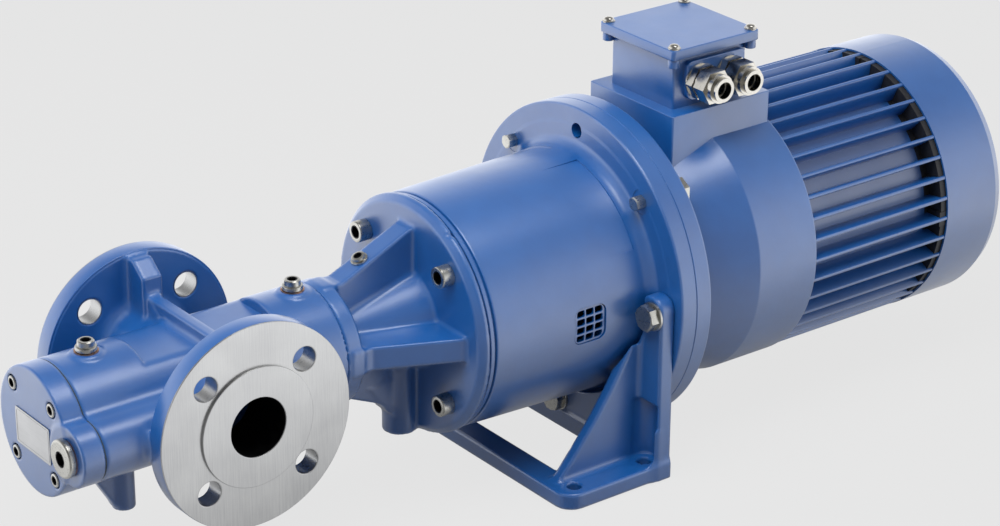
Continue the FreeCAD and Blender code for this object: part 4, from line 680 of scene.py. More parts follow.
class Maker:
    """Makes finished meshes in the model's frame and sets them on their bodies."""

    @staticmethod
    def plain(name: str, corners: Sequence, faces: Sequence, finish: Finish, smooth: float | None) -> Object:
        """A mesh object from corners in metres.

        Args:
            name: the piece's name.
            corners: places in the model's frame.
            faces: corner numbers of each face.
            finish: the finish it wears.
            smooth: angle in degrees above which an edge stays sharp, or None for one smooth skin.

        Returns:
            The object.
        """
        mesh = bpy.data.meshes.new(name)
        mesh.from_pydata([tuple(map(float, c)) for c in corners], [], [tuple(map(int, f)) for f in faces])
        mesh.update()
        mesh.polygons.foreach_set("use_smooth", [True] * len(mesh.polygons))
        if smooth is not None:
            mesh.set_sharp_from_angle(angle=math.radians(smooth))
        mesh.materials.append(Finishes.get(finish))
        return link_object(name, mesh)

    @staticmethod
    def skinned(name: str, solid: Distance, low: Point, high: Point, step: float, finish: Finish,
                smooth: float | None = None) -> Object:
        """A casting from a distance function."""
        corners, faces = Skin(solid, low, high, step).mesh()
        LOG.info("%s: %d faces", name, len(faces))
        return Maker.plain(name, rows(corners), faces, finish, smooth)

    @staticmethod
    def lathed(name: str, profile: Profile, finish: Finish, axis: Axis, centre: Spot, count: int) -> Object:
        """A closed outline of (along, radius) turned round an axis.

        Args:
            name: the piece's name.
            profile: the outline. A radius of zero makes a pole.
            finish: the finish it wears.
            axis: the axis it is turned about.
            centre: the axis's place on the two axes across.
            count: steps round.

        Returns:
            The object.
        """
        along, first, second = axis.value
        corners, rings = [], []
        for place, radius in Outline.braced(profile):
            steps = 1 if radius < POLE else count
            rings.append([len(corners) + i for i in range(steps)])
            for i in range(steps):
                angle = 2 * math.pi * i / count
                point = [0.0, 0.0, 0.0]
                point[along] = place
                point[first] = centre[0] + radius * math.cos(angle)
                point[second] = centre[1] + radius * math.sin(angle)
                corners.append(row(point))
        faces = []
        for k, ring in enumerate(rings):
            following = rings[(k + 1) % len(rings)]
            if len(ring) == 1 and len(following) == 1:
                continue
            for i in range(count):
                j = (i + 1) % count
                if len(ring) == 1:
                    faces.append((ring[0], following[j], following[i]))
                elif len(following) == 1:
                    faces.append((ring[i], ring[j], following[0]))
                else:
                    faces.append((ring[i], ring[j], following[j], following[i]))
        made = Maker.plain(name, corners, faces, finish, None)
        Maker.outwards(made)
        shade(made.data)
        return made

    @staticmethod
    def evened(mesh: bpy.types.Mesh, along: int, skew: float = 2e-6) -> None:
        """Flat shading on a plate's two flat faces, so that no bands run across them from their holes."""
        for face in mesh.polygons:
            if abs(face.normal[along]) > 1 - skew:
                face.use_smooth = False

    @staticmethod
    def outwards(item: Object) -> None:
        """Merges doubles and turns every face outwards."""
        work = bmesh.new()
        work.from_mesh(item.data)
        bmesh.ops.remove_doubles(work, verts=work.verts, dist=1e-7)
        bmesh.ops.recalc_face_normals(work, faces=work.faces)
        if work.calc_volume(signed=True) < 0:
            bmesh.ops.reverse_faces(work, faces=work.faces)
        work.to_mesh(item.data)
        work.free()

    @staticmethod
    def plate(name: str, outlines: Sequence[Profile], axis: Axis, start: float, end: float, finish: Finish,
              edge: float) -> Object:
        """A flat plate with holes and chamfered rims, from a filled curve.

        Args:
            name: the piece's name.
            outlines: the outer outline and then the holes, on the two axes across.
            axis: the plate's normal.
            start: its lower face along the axis.
            end: its upper face along the axis.
            finish: the finish it wears.
            edge: width of the rounded rims.

        Returns:
            The object.
        """
        curve = bpy.data.curves.new(name, "CURVE")
        curve.dimensions = "2D"
        curve.fill_mode = "BOTH"
        for outline in outlines:
            spline = curve.splines.new("POLY")
            spline.points.add(len(outline) - 1)
            for point, (u, v) in zip(spline.points, outline):
                point.co = (u / 1000, v / 1000, 0, 1)
            spline.use_cyclic_u = True
        curve.extrude = (end - start) / 2000 - edge / 1000
        curve.bevel_depth = edge / 1000
        curve.bevel_resolution = 2
        curve.offset = -edge / 1000
        source = link_object(name + "_curve", curve)
        mesh = evaluated(source)
        bpy.data.objects.remove(source)
        along, first, second = axis.value
        turn = np.zeros((3, 3))
        turn[(first, second, along), (0, 1, 2)] = 1
        flat = np.empty(len(mesh.vertices) * 3)
        mesh.vertices.foreach_get("co", flat)
        points = flat.reshape(-1, 3) @ turn.T * 1000
        points[:, along] += (start + end) / 2
        mesh.vertices.foreach_set("co", rows(points).reshape(-1))
        mesh.update()
        made = link_object(name, mesh)
        Maker.outwards(made)
        shade(mesh)
        Maker.evened(mesh, along)
        mesh.materials.clear()
        mesh.materials.append(Finishes.get(finish))
        return made

    @staticmethod
    def cutter(outline: Profile, axis: Axis, start: float, end: float) -> Object:
        """A sharp piece for a boolean to take away."""
        return Maker.plate("cut", [outline], axis, start, end, Finishes.CAST, CUT_EDGE)

    @staticmethod
    def recess(name: str, axis: Axis, centre: Spot, flats: float, low: float, high: float) -> Object:
        """A hexagon recess in painted shade: a ring between two places along an axis, its floor at the deeper one.

        Args:
            name: the piece's name.
            axis: the screw's axis.
            centre: its place on the two axes across.
            flats: size across the hexagon's flats.
            low: the mouth's place along the axis.
            high: the floor's place along the axis.

        Returns:
            The recess as one object in painted shade.
        """
        # The ring and floor are painted dark as the shade inside the socket.
        reach = flats / math.sqrt(3) + 0.35
        ring = Maker.plate(name, [Outline.circle(centre, reach, 36), Outline.hexagon(centre, flats)], axis,
                           min(low, high), max(low, high), Finishes.PAINTED_SHADE, 0.08)
        floor = Maker.plate(name + "_floor", [Outline.circle(centre, reach - 0.1, 36)], axis, high - 0.3, high + 0.3,
                            Finishes.PAINTED_SHADE, 0.08)
        return Maker.joined(name, [ring, floor])

    @staticmethod
    def joined(name: str, items: Sequence[Object]) -> Object:
        """Joins meshes into one object, keeping their materials."""
        work = bmesh.new()
        made = bpy.data.meshes.new(name)
        for item in items:
            slot = len(made.materials)
            for material in item.data.materials:
                made.materials.append(material)
            before = len(work.faces)
            work.from_mesh(item.data)
            work.faces.ensure_lookup_table()
            for face in work.faces[before:]:
                face.material_index += slot
        work.to_mesh(made)
        work.free()
        result = link_object(name, made)
        for item in items:
            bpy.data.objects.remove(item)
        return result

    @staticmethod
    def carved(item: Object, cutters: Sequence[Object]) -> Object:
        """Takes the cutters out of a mesh and removes them."""
        cutter = Maker.joined(item.name + "_cutter", cutters)
        change = item.modifiers.new("cut", "BOOLEAN")
        change.operation = "DIFFERENCE"
        change.solver = "EXACT"
        change.object = cutter
        mesh = evaluated(item)
        item.modifiers.clear()
        material = item.data.materials[0]
        item.data = mesh
        mesh.materials.clear()
        mesh.materials.append(material)
        mesh.polygons.foreach_set("material_index", [0] * len(mesh.polygons))
        mesh.set_sharp_from_angle(angle=math.radians(SHARP))
        bpy.data.objects.remove(cutter)
        return item

    @staticmethod
    def set_on(item: Object, slot: str, *nodes: str, body: str = "frame") -> None:
        """Sets a finished piece on its body, in place of CAD nodes."""
        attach(item, body)
        if nodes:
            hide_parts(*nodes)
        LOG.info("%s rides on %s", item.name, body)


class Pattern:
    """Geometry Nodes trees that lay out copies of one piece."""

    _made: dict[str, "Pattern"] = {}

    def __init__(self, name: str, inputs: dict[str, str]) -> None:
        """Starts a tree with inputs for a piece, its material and these others, each with its kind of socket."""
        self.tree = bpy.data.node_groups.new(name, "GeometryNodeTree")
        add = self.tree.interface.new_socket
        add("Geometry", in_out="OUTPUT", socket_type="NodeSocketGeometry")
        add("Geometry", in_out="INPUT", socket_type="NodeSocketGeometry")
        self.keys = {label: add(label, in_out="INPUT", socket_type="NodeSocket" + kind).identifier
                     for label, kind in {"Piece": "Object", "Material": "Material", **inputs}.items()}
        self.source = self.node("NodeGroupInput").outputs
        self.piece = self.node("GeometryNodeObjectInfo", {"Object": self.source["Piece"],
                                                          "As Instance": True}).outputs["Geometry"]

    def node(self, kind: str, inputs: dict | None = None, **settings) -> bpy.types.Node:
        """Adds a node to the pattern's tree."""
        return add_node(self.tree, kind, inputs, **settings)

    def turn(self, angle: Socket) -> Socket:
        """A rotation about the axis that the tree is given."""
        return self.node("FunctionNodeAxisAngleToRotation", {"Axis": self.source["Axis"], "Angle": angle}).outputs[0]

    def finish(self, copies: Socket) -> "Pattern":
        """Ends the tree in real meshes with their material."""
        real = self.node("GeometryNodeRealizeInstances", {"Geometry": copies})
        dressed = self.node("GeometryNodeSetMaterial", {"Geometry": real.outputs[0],
                                                       "Material": self.source["Material"]})
        self.node("NodeGroupOutput", {0: dressed.outputs[0]})
        return self

    @classmethod
    def ring(cls) -> "Pattern":
        """Copies turned about an axis: Count, First Angle, Centre, Axis."""
        if "ring" not in cls._made:
            made = cls("copies_round_an_axis", {"Count": "Int", "First Angle": "Float", "Centre": "Vector",
                                                "Axis": "Vector"})
            line = made.node("GeometryNodeMeshLine", {"Count": made.source["Count"], "Offset": (0, 0, 0)})
            copies = made.node("GeometryNodeInstanceOnPoints", {"Points": line.outputs[0], "Instance": made.piece})
            index = made.node("GeometryNodeInputIndex").outputs[0]
            step = made.node("ShaderNodeMath", {0: 2 * math.pi, 1: made.source["Count"]}, operation="DIVIDE")
            angle = made.node("ShaderNodeMath", {0: index, 1: step.outputs[0], 2: made.source["First Angle"]},
                              operation="MULTIPLY_ADD")
            turned = made.node("GeometryNodeRotateInstances", {"Instances": copies.outputs[0],
                                                              "Rotation": made.turn(angle.outputs[0]),
                                                              "Pivot Point": made.source["Centre"],
                                                              "Local Space": False})
            cls._made["ring"] = made.finish(turned.outputs[0])
        return cls._made["ring"]

    @classmethod
    def spots(cls) -> "Pattern":
        """Copies moved to the corners of the object that carries the tree, each turned a little."""
        if "spots" not in cls._made:
            made = cls("copies_at_places", {"Axis": "Vector", "Turn": "Float", "Seed": "Int"})
            chance = made.node("FunctionNodeRandomValue", {"Seed": made.source["Seed"]}, data_type="FLOAT")
            angle = made.node("ShaderNodeMath", {0: chance.outputs[1], 1: made.source["Turn"]}, operation="MULTIPLY")
            copies = made.node("GeometryNodeInstanceOnPoints", {"Points": made.source["Geometry"],
                                                               "Instance": made.piece,
                                                               "Rotation": made.turn(angle.outputs[0])})
            cls._made["spots"] = made.finish(copies.outputs[0])
        return cls._made["spots"]

    def run(self, name: str, piece: Object, places: Sequence[Vector], smooth: float, values: dict) -> Object:
        """Runs the tree on an object of loose corners and keeps the result as a plain mesh."""
        carrier = link_object(name, bpy.data.meshes.new(name))
        carrier.data.from_pydata([tuple(p) for p in places], [], [])
        change = carrier.modifiers.new(name, "NODES")
        change.node_group = self.tree
        for label, value in {"Piece": piece, "Material": piece.data.materials[0], **values}.items():
            change[self.keys[label]] = value
        mesh = evaluated(carrier)
        carrier.modifiers.clear()
        carrier.data = mesh
        mesh.name = name
        mesh.set_sharp_from_angle(angle=math.radians(smooth))
        bpy.data.objects.remove(piece)
        return carrier

    @staticmethod
    def round_shaft(name: str, piece: Object, count: int, smooth: float) -> Object:
        """Copies of a piece about the shaft."""
        values = {"Count": count, "First Angle": 0.0, "Centre": tuple(row((0, 0, 0))), "Axis": (1.0, 0.0, 0.0)}
        return Pattern.ring().run(name, piece, [], smooth, values)

    @staticmethod
    def at(name: str, piece: Object, places: Sequence[Point], axis: Point, seed: int) -> Object:
        """Copies of a piece modelled about the origin of the frame, at places in the shaft frame."""
        values = {"Axis": axis, "Turn": math.radians(HEXAGON_TURN), "Seed": seed}
        return Pattern.spots().run(name, piece, [row(p) for p in places], SHARP, values)


@dataclass
class PumpCasting:
    """The pump casing: barrel, relief lobe, two pipe flanges, webs, lug, drive-end cone and mounting flange."""

    barrel: float = 46.0
    front: float = -106.5
    back: float = 113.0
    lobe_offset: float = 46.0
    lobe: float = 21.5
    neck: float = 33.0
    rim: float = 75.0
    rim_inside: float = 68.0
    rim_outside: float = 82.4
    face: float = 85.0
    raised: float = 44.0
    port: float = 21.5
    bolt_circle: float = 55.0
    bolt_hole: float = 9.0
    mount_face: float = 183.0
    mount_back: float = 191.0
    rib: float = 18.0
    seam: float = 100.0
    step: float = 1.6

    def barrel_solid(self) -> Distance:
        """Barrel with its flat, and the relief lobe."""
        barrel = Solid.rod(Axis.X, (0, 0), self.barrel, self.front, self.back, 1.6)
        flat = Solid.prism(Axis.Y, [(-50, 38.6), (55, 38.6), (55, 80), (-50, 80)], -60, 60, 1.0)
        barrel = Solid.without(2.5, barrel, flat)
        lobe = Solid.rod(Axis.X, (-self.lobe_offset, 0), self.lobe, self.front, 2, 1.6)
        return Solid.union(7.0, barrel, lobe)

    def bosses(self) -> Distance:
        """Bosses under the two plugs of the barrel."""
        return Solid.union(0, *(Solid.rod(Axis.Z, (x, 0), 11.4, 34, 47.0, 1.6) for x in PLUG_SPOTS))

    def necks(self) -> Distance:
        """Necks to the pipe flanges with the inner part of each flange."""
        through = Solid.rod(Axis.Y, (0, 0), self.neck, -self.rim_inside - 4, self.rim_inside + 4, 1.0)
        front = Solid.rod(Axis.Y, (0, 0), self.rim - 0.7, -self.rim_outside + 1, -self.rim_inside, 1.6)
        back = Solid.rod(Axis.Y, (0, 0), self.rim - 0.7, self.rim_inside, self.rim_outside - 1, 1.6)
        return Solid.union(11.0, through, Solid.union(0, front, back))

    def webs(self) -> Distance:
        """The bar over the barrel and the upright ribs behind the rear flange."""
        bar = Solid.prism(Axis.X, [(-70, 20), (70, 20), (70, 48.5), (-70, 48.5)], -4.75, 4.75, 1.4)
        upright = Solid.prism(Axis.X, [(47, 30), (70, 30), (70, 72), (60, 72), (47, 62)], -8.0, 8.0, 1.6)
        slope = Solid.prism(Axis.X, [(20, 30), (56, 30), (56, 58), (44, 48)], -4.75, 4.75, 1.6)
        return Solid.union(3.0, bar, Solid.union(2.0, upright, slope))

    def lug(self) -> Distance:
        """Support lug below the barrel's pump end."""
        post = Solid.rod(Axis.Z, (-58, 0), 8.2, -78, -38, 1.2)
        web = Solid.prism(Axis.Y, [(-58, -72), (-67, -74), (-87, -40), (-58, -40)], -4.6, 4.6, 1.5)
        return Solid.union(4.0, post, web)

    def drive_end(self) -> Distance:
        """Cone, four ribs, the boss below and the mounting flange."""
        cone = Solid.rod(Axis.X, (0, 0), 16.5, self.back - 6, self.mount_face + 2, 1.0, 39.0)
        disc = Solid.turned([(self.mount_face + 0.8, 0), (self.mount_face + 0.8, 85.0), (187.6, 89.2),
                             (self.mount_back - 0.8, 89.2), (self.mount_back - 0.8, 0)], 0.8)
        ribs = []
        side = self.rib / 2
        outline = [(self.back - 8, 8), (self.back - 8, 45.4), (self.back + 8, 45.4), (179, 71.5), (186, 71.5),
                   (186, 8)]
        for sign in (1, -1):
            ribs.append(Solid.prism(Axis.Y, [(x, sign * z) for x, z in outline], -side, side, 1.1))
            ribs.append(Solid.prism(Axis.Z, [(x, sign * y) for x, y in outline], -side, side, 1.1))
        boss = Solid.rod(Axis.Z, (175.5, 0), 13.0, -89, -30, 1.4)
        web = Solid.prism(Axis.Y, [(175, -77), (160, -69), (142, -44), (175, -40)], -side, side, 2.0)
        ribs_all = Solid.union(3.0, *ribs, Solid.union(4.0, boss, web))
        return Solid.union(4.0, Solid.union(3.5, cone, ribs_all), disc)

    def castings(self) -> list[Object]:
        """The casting with its bores, as two skins that meet where the barrel ends."""
        body = Solid.union(5.0, Solid.union(7.0, self.barrel_solid(), self.necks()), self.webs())
        body = Solid.union(3.0, body, self.bosses())
        body = Solid.union(5.0, body, self.lug(), self.drive_end())
        body = Solid.within(body, Axis.X, self.front, self.mount_back)
        port = Solid.rod(Axis.Y, (0, 0), self.port + 0.6, -90, 90, 0.5)
        bore = Solid.rod(Axis.X, (0, 0), 31.6, self.front - 5, 98, 0.5)
        shaft = Solid.rod(Axis.X, (0, 0), 15.5, 90, 150, 0.5)
        seat = Solid.rod(Axis.X, (0, 0), 23.6, 149, 200, 0.5)
        notch = Solid.rod(Axis.X, (-46.0, 79.7), 3.4, 184, 200, 0.3)
        cuts = [port, bore, shaft, seat, notch]
        cuts += [Solid.rod(Axis.Y, spot, self.bolt_hole + 0.5, low, high, 0.4)
                 for spot in Outline.spots(self.bolt_circle) for low, high in ((-90, -60), (60, 90))]
        body = Solid.without(1.0, body, *cuts)
        return [Maker.skinned(name, Solid.within(body, Axis.X, low, high), (low, -wide, -90), (high, wide, 90),
                              self.step, Finishes.CAST, 62.0)
                for name, low, high, wide in (("pump_casting_barrel", self.front, self.seam, 85),
                                              ("pump_casting_drive_end", self.seam, self.mount_back, 91))]

    def flange(self, sign: int, word: str) -> list[Object]:
        """One pipe flange: painted rim, turned face and raised face."""
        holes = [Outline.circle(p, self.bolt_hole + 0.3, 40) for p in Outline.spots(self.bolt_circle)]
        bore = Outline.circle((0, 0), self.port + 0.3, 72)
        rim, turned, inner, raised = (Outline.circle((0, 0), radius, count) for radius, count in (
            (self.rim, 160), (self.rim - 0.15, 160), (self.raised - 3.0, 120), (self.raised, 120)))
        layers = (("rim", [rim, *holes, bore], self.rim_inside + 0.4, self.rim_outside, Finishes.SMOOTH, 0.7),
                  ("face", [turned, *holes, inner], self.rim_outside - 1.0, self.face - 2.0, Finishes.FACE, 0.45),
                  ("raised_face", [raised, bore], self.face - 2.9, self.face, Finishes.FACE, 0.5))
        return [Maker.plate(f"{word}_flange_{part}", outlines, Axis.Y, *sorted((sign * low, sign * high)), finish,
                            edge) for part, outlines, low, high, finish, edge in layers]

    @staticmethod
    def tube(name: str, centre: Spot, inner: float, ends: Spot, finish: Finish) -> Object:
        """A thin lining of a drilled hole across the shaft."""
        low, high = sorted(ends)
        profile = [(low, inner + 0.25), (low + 0.25, inner), (high - 0.25, inner), (high, inner + 0.25),
                   (high, inner + 0.7), (low, inner + 0.7)]
        return Maker.lathed(name, profile, finish, Axis.Y, centre, 64)

    def linings(self, sign: int, word: str) -> tuple[Object, Object]:
        """The port bore lined in painted shade, and the bare steel of the four drilled holes of one flange."""
        # The port's lining is painted dark as the shade inside the bore.
        port = self.tube(f"{word}_port_bore", (0, 0), self.port, (sign * 40.2, sign * (self.face - 0.5)),
                         Finishes.PAINTED_SHADE)
        ends = (sign * (self.rim_inside + 0.1), sign * (self.face - 2.1))
        drilled = [self.tube("drilled_hole", spot, self.bolt_hole, ends, Finishes.STEEL)
                   for spot in Outline.spots(self.bolt_circle)]
        return port, Maker.joined(f"{word}_flange_holes", drilled)

    def build(self) -> None:
        """Builds the casing and sets it in place of its CAD node."""
        for skin in self.castings():
            Maker.set_on(skin, "pump_paint", "pump_casing")
        for sign, word in ((1, "rear"), (-1, "front")):
            rim, *bare = self.flange(sign, word)
            Maker.set_on(rim, "pump_paint")
            for piece in (*bare, *self.linings(sign, word)):
                Maker.set_on(piece, "steel")


@dataclass
class EndCover:
    """The cover at the pump's end with its screws, bare plate and relief valve plug."""

    inner: float = -107.0
    outer: float = -123.5
    radius: float = 46.0
    lobe: float = 21.5
    lobe_offset: float = 46.0
    screw_offset: float = 26.0
    counterbore: float = 4.0
    screw_gap: float = 0.2

    def cover(self) -> Object:
        """The cover's casting, with counterbores for its screws."""
        disc = Solid.rod(Axis.X, (0, 0), self.radius, self.outer, self.inner, 1.3)
        lobe = Solid.rod(Axis.X, (-self.lobe_offset, 0), self.lobe, self.outer, self.inner, 1.3)
        seat = self.outer + self.counterbore
        bores = [Solid.rod(Axis.X, spot, 5.8, self.outer - 2, seat, 0.3) for spot in self.spots()]
        bores.append(Solid.rod(Axis.X, (-self.lobe_offset, 0), 11.4, self.outer - 2, self.inner + 2, 0.3))
        body = Solid.without(0.5, Solid.union(4.5, disc, lobe), *bores)
        return Maker.skinned("end_cover_casting", body, (self.outer, -68, -46), (self.inner, 46, 46), 1.05,
                             Finishes.CAST)

    def spots(self) -> Profile:
        """Places of the four cover screws."""
        k = self.screw_offset
        return [(y, z) for y in (k, -k) for z in (k, -k)]

    def screws(self) -> list[Object]:
        """Socket screws sunk in their counterbores, and their sockets in painted shade."""
        screw = SocketScrew(4.9, 5.0, 2.6, 2.9)
        top = self.outer + self.counterbore - screw.height + self.screw_gap
        return screw.laid("cover_socket_screws", [(top, *spot) for spot in self.spots()], 5)

    def name_plate(self) -> Object:
        """Bare plate with a raised line round its edge."""
        plate = Maker.plate("bare_plate", [Outline.box((-23, -16.5), (23, 10.5), 1.5, 4)], Axis.X,
                            self.outer - 0.8, self.outer, Finishes.PLATE, 0.2)
        frames = [Outline.box((-21.6, -15.1), (21.6, 9.1), 1, 4), Outline.box((-21.0, -14.5), (21.0, 8.5), 1, 4)]
        line = Maker.plate("plate_line", frames, Axis.X, self.outer - 0.95, self.outer - 0.7, Finishes.PLATE,
                           CUT_EDGE)
        return Maker.joined("bare_name_plate", [plate, line])

    def relief_plug(self) -> tuple[Object, Object]:
        """Collar plug over the relief valve, and its hexagon recess in painted shade."""
        x = self.outer
        centre = (-self.lobe_offset, 0.0)
        profile = [(x - 6, 5.8), (x - 6, 12.3), (x - 5.6, 13.1), (x - 4.9, 13.5), (x - 1.5, 13.5), (x - 1.0, 13.0),
                   (x - 1.0, 10.6), (x + 13.0, 10.6), (x + 13.6, 10.0), (x + 13.6, 0), (x - 1.6, 0), (x - 1.6, 5.8)]
        shell = Maker.lathed("relief_plug_collar", profile, Finishes.ZINC, Axis.X, centre, 72)
        return shell, Maker.recess("relief_plug_recess", Axis.X, centre, 9.4, x - 5.9, x - 2.0)

    def build(self) -> None:
        """Builds the cover and its fittings."""
        Maker.set_on(self.cover(), "pump_paint", "end_cover")
        heads, sockets = self.screws()
        Maker.set_on(heads, "zinc", "end_cover_screws")
        Maker.set_on(sockets, "zinc")
        Maker.set_on(self.name_plate(), "name_plate", "name_plate")
        collar, recess = self.relief_plug()
        Maker.set_on(collar, "zinc", "relief_valve_plug")
        Maker.set_on(recess, "zinc")


@dataclass
class ReliefSpring:
    """The relief valve's spring, between the piston and its adjuster."""

    node: str = "relief_valve_spring"
    still_body: str = "frame"
    moving_body: str = "relief_piston"
    merge: float = 2e-6

    def build(self) -> None:
        """Puts a merged copy of the node's wire in place of the node."""
        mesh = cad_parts[self.node].data.copy()
        mesh.name = "relief_spring_wire"
        work = bmesh.new()
        work.from_mesh(mesh)
        bmesh.ops.remove_doubles(work, verts=work.verts, dist=self.merge)
        work.to_mesh(mesh)
        work.free()
        shade(mesh)
        wire = link_object(mesh.name, mesh)
        low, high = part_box(self.node)
        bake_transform(wire)
        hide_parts(self.node)


@dataclass(frozen=True)
class SocketScrew:
    """A socket-head screw: head radius and height, socket half width across flats and shank radius."""

    head: float
    height: float
    socket: float
    shank: float
    length: float = 6.0

    def head_piece(self, name: str) -> Object:
        """The head about the frame's origin, its top towards -x, its seat at x = height."""
        h, r = self.height, self.head
        deep = h * 0.55
        mouth = self.socket * 2 / math.sqrt(3) + 0.2
        shell = [(0.25, mouth), (0.0, mouth + 0.3), (0.0, r - 0.7), (0.25, r - 0.25), (0.7, r), (h - 0.3, r),
                 (h, r - 0.3), (h, self.shank), (h + self.length, self.shank), (h + self.length, 0),
                 (deep + 0.2, 0), (deep + 0.2, mouth)]
        return Maker.lathed(name, [(x + ORIGIN[0], radius) for x, radius in shell], Finishes.ZINC, Axis.X,
                            ORIGIN[1:], 40)

    def laid(self, name: str, places: Sequence[Point], seed: int) -> list[Object]:
        """The heads at their places, and their sockets in painted shade, turned with them."""
        socket = Maker.recess("socket", Axis.X, ORIGIN[1:], self.socket * 2, ORIGIN[0] + 0.2,
                              ORIGIN[0] + self.height * 0.55)
        return [Pattern.at(label, piece, places, (1, 0, 0), seed)
                for label, piece in ((name, self.head_piece("head")), (name + "_sockets", socket))]


@dataclass(frozen=True)
class HexBolt:
    """A hexagon bolt: size across flats, head height, shank and washer."""

    flats: float
    height: float
    shank: float
    length: float
    washer: float = 0.0
    washer_radius: float = 0.0

    def piece(self, name: str) -> Object:
        """The bolt about the frame's origin: its top towards -x, its seat at x = height + washer."""
        base = ORIGIN[0]
        h, w, half = self.height, self.washer, self.flats / 2
        tip = h + w + self.length
        items = [Maker.plate(name, [Outline.hexagon(ORIGIN[1:], self.flats)], Axis.X, base + 0.35, base + h,
                             Finishes.ZINC, 0.15)]
        turned = [[(0.0, 0.0), (0.0, half * 0.92), (0.45, half * 1.07), (1.0, half * 1.07), (1.0, 0.0)],
                  [(h - 0.5, 0), (h - 0.5, self.shank), (tip - 0.8, self.shank), (tip, self.shank - 0.8), (tip, 0)]]
        if w > 0:
            hole, rim = self.shank + 0.3, self.washer_radius
            turned.append([(h, hole), (h, rim - 0.4), (h + 0.4, rim), (h + w, rim), (h + w, hole)])
        items += [Maker.lathed(name + "_turned", [(x + base, r) for x, r in profile], Finishes.ZINC, Axis.X,
                               ORIGIN[1:], 40) for profile in turned]
        return Maker.joined(name, items)


@dataclass
class Fasteners:
    """Plugs, screws and bolts on the outside of the pump and the bell."""

    mount_radius: float = 71.5
    mount_seat: float = 183.0
    rib_plug: Point = (142.0, 0, 54.7)
    rib_slope: float = -24.2

    @staticmethod
    def plug(r: float, h: float) -> tuple[Object, Object]:
        """A collar plug of this radius and height on the frame's origin, and the socket in its crown in painted shade.
        """
        x, _, base = ORIGIN
        shell = [(0.0, 0.0), (0.0, r * 0.80), (0.4, r), (h * 0.36, r), (h * 0.42, r * 0.96), (h * 0.44, r * 0.80),
                 (h * 0.92, r * 0.78), (h, r * 0.68), (h, r * 0.50), (h * 0.5, r * 0.48), (h * 0.5, 0.0)]
        body = Maker.lathed("plug", [(z + base, q) for z, q in shell], Finishes.ZINC, Axis.Z, (x, 0), 48)
        return body, Maker.recess("plug_socket", Axis.Z, (x, 0), r * 0.74, base + h - 0.15, base + h * 0.55)

    def flange_studs(self) -> Object:
        """Small hexagon ends of the motor flange's bolts, with their shanks through both flanges."""
        end = HexBolt(9.6, 8.0, shank=4.4, length=41.0).piece("flange_stud")
        places = [(BELL_FACE - 8.0, *spot) for spot in Outline.spots(BOLT_CIRCLE)]
        return Pattern.at("motor_flange_studs", end, places, (1, 0, 0), 11)

    def bracket_bolts(self) -> Object:
        """Hexagon bolts with washers that hold the foot bracket."""
        bolt = HexBolt(17.5, 7.4, washer=1.8, washer_radius=11.0, shank=5.8, length=24.0)
        top = FootBracket.leg_front - 9.2
        places = [(top, BOLT_CIRCLE, 0), (top, -BOLT_CIRCLE, 0), (top, 0, -BOLT_CIRCLE)]
        return Pattern.at("bracket_hexagon_bolts", bolt.piece("bracket_bolt"), places, (1, 0, 0), 4)

    def build(self) -> None:
        """Builds every outside fastener but those of the end cover and the terminal box."""
        places = [(x, 0, 48.0) for x in PLUG_SPOTS]
        for name, piece, nodes in zip(("vent_plug_bodies", "vent_plug_sockets"), self.plug(7.6, 7.6),
                                      (("vent_plugs",), ())):
            Maker.set_on(Pattern.at(name, piece, places, (0, 0, 1), 2), "zinc", *nodes)
        tilt = Matrix.Translation(row(self.rib_plug)) @ Matrix.Rotation(math.radians(self.rib_slope), 4, "Y")
        for piece, nodes in zip(self.plug(6.4, 4.4), (("rib_plug",), ())):
            piece.name = "rib_" + piece.name
            piece.data.transform(tilt)
            Maker.set_on(piece, "zinc", *nodes)
        screw = SocketScrew(8.0, 10.0, 4.1, 5.0, 4.0)
        places = [(self.mount_seat - screw.height, *spot) for spot in Outline.spots(self.mount_radius)]
        heads, sockets = screw.laid("mount_socket_screws", places, 7)
        Maker.set_on(heads, "zinc", "mounting_screws")
        Maker.set_on(sockets, "zinc")
        Maker.set_on(self.flange_studs(), "zinc", "motor_flange_bolts")
        Maker.set_on(self.bracket_bolts(), "zinc", "foot_bracket_bolts")


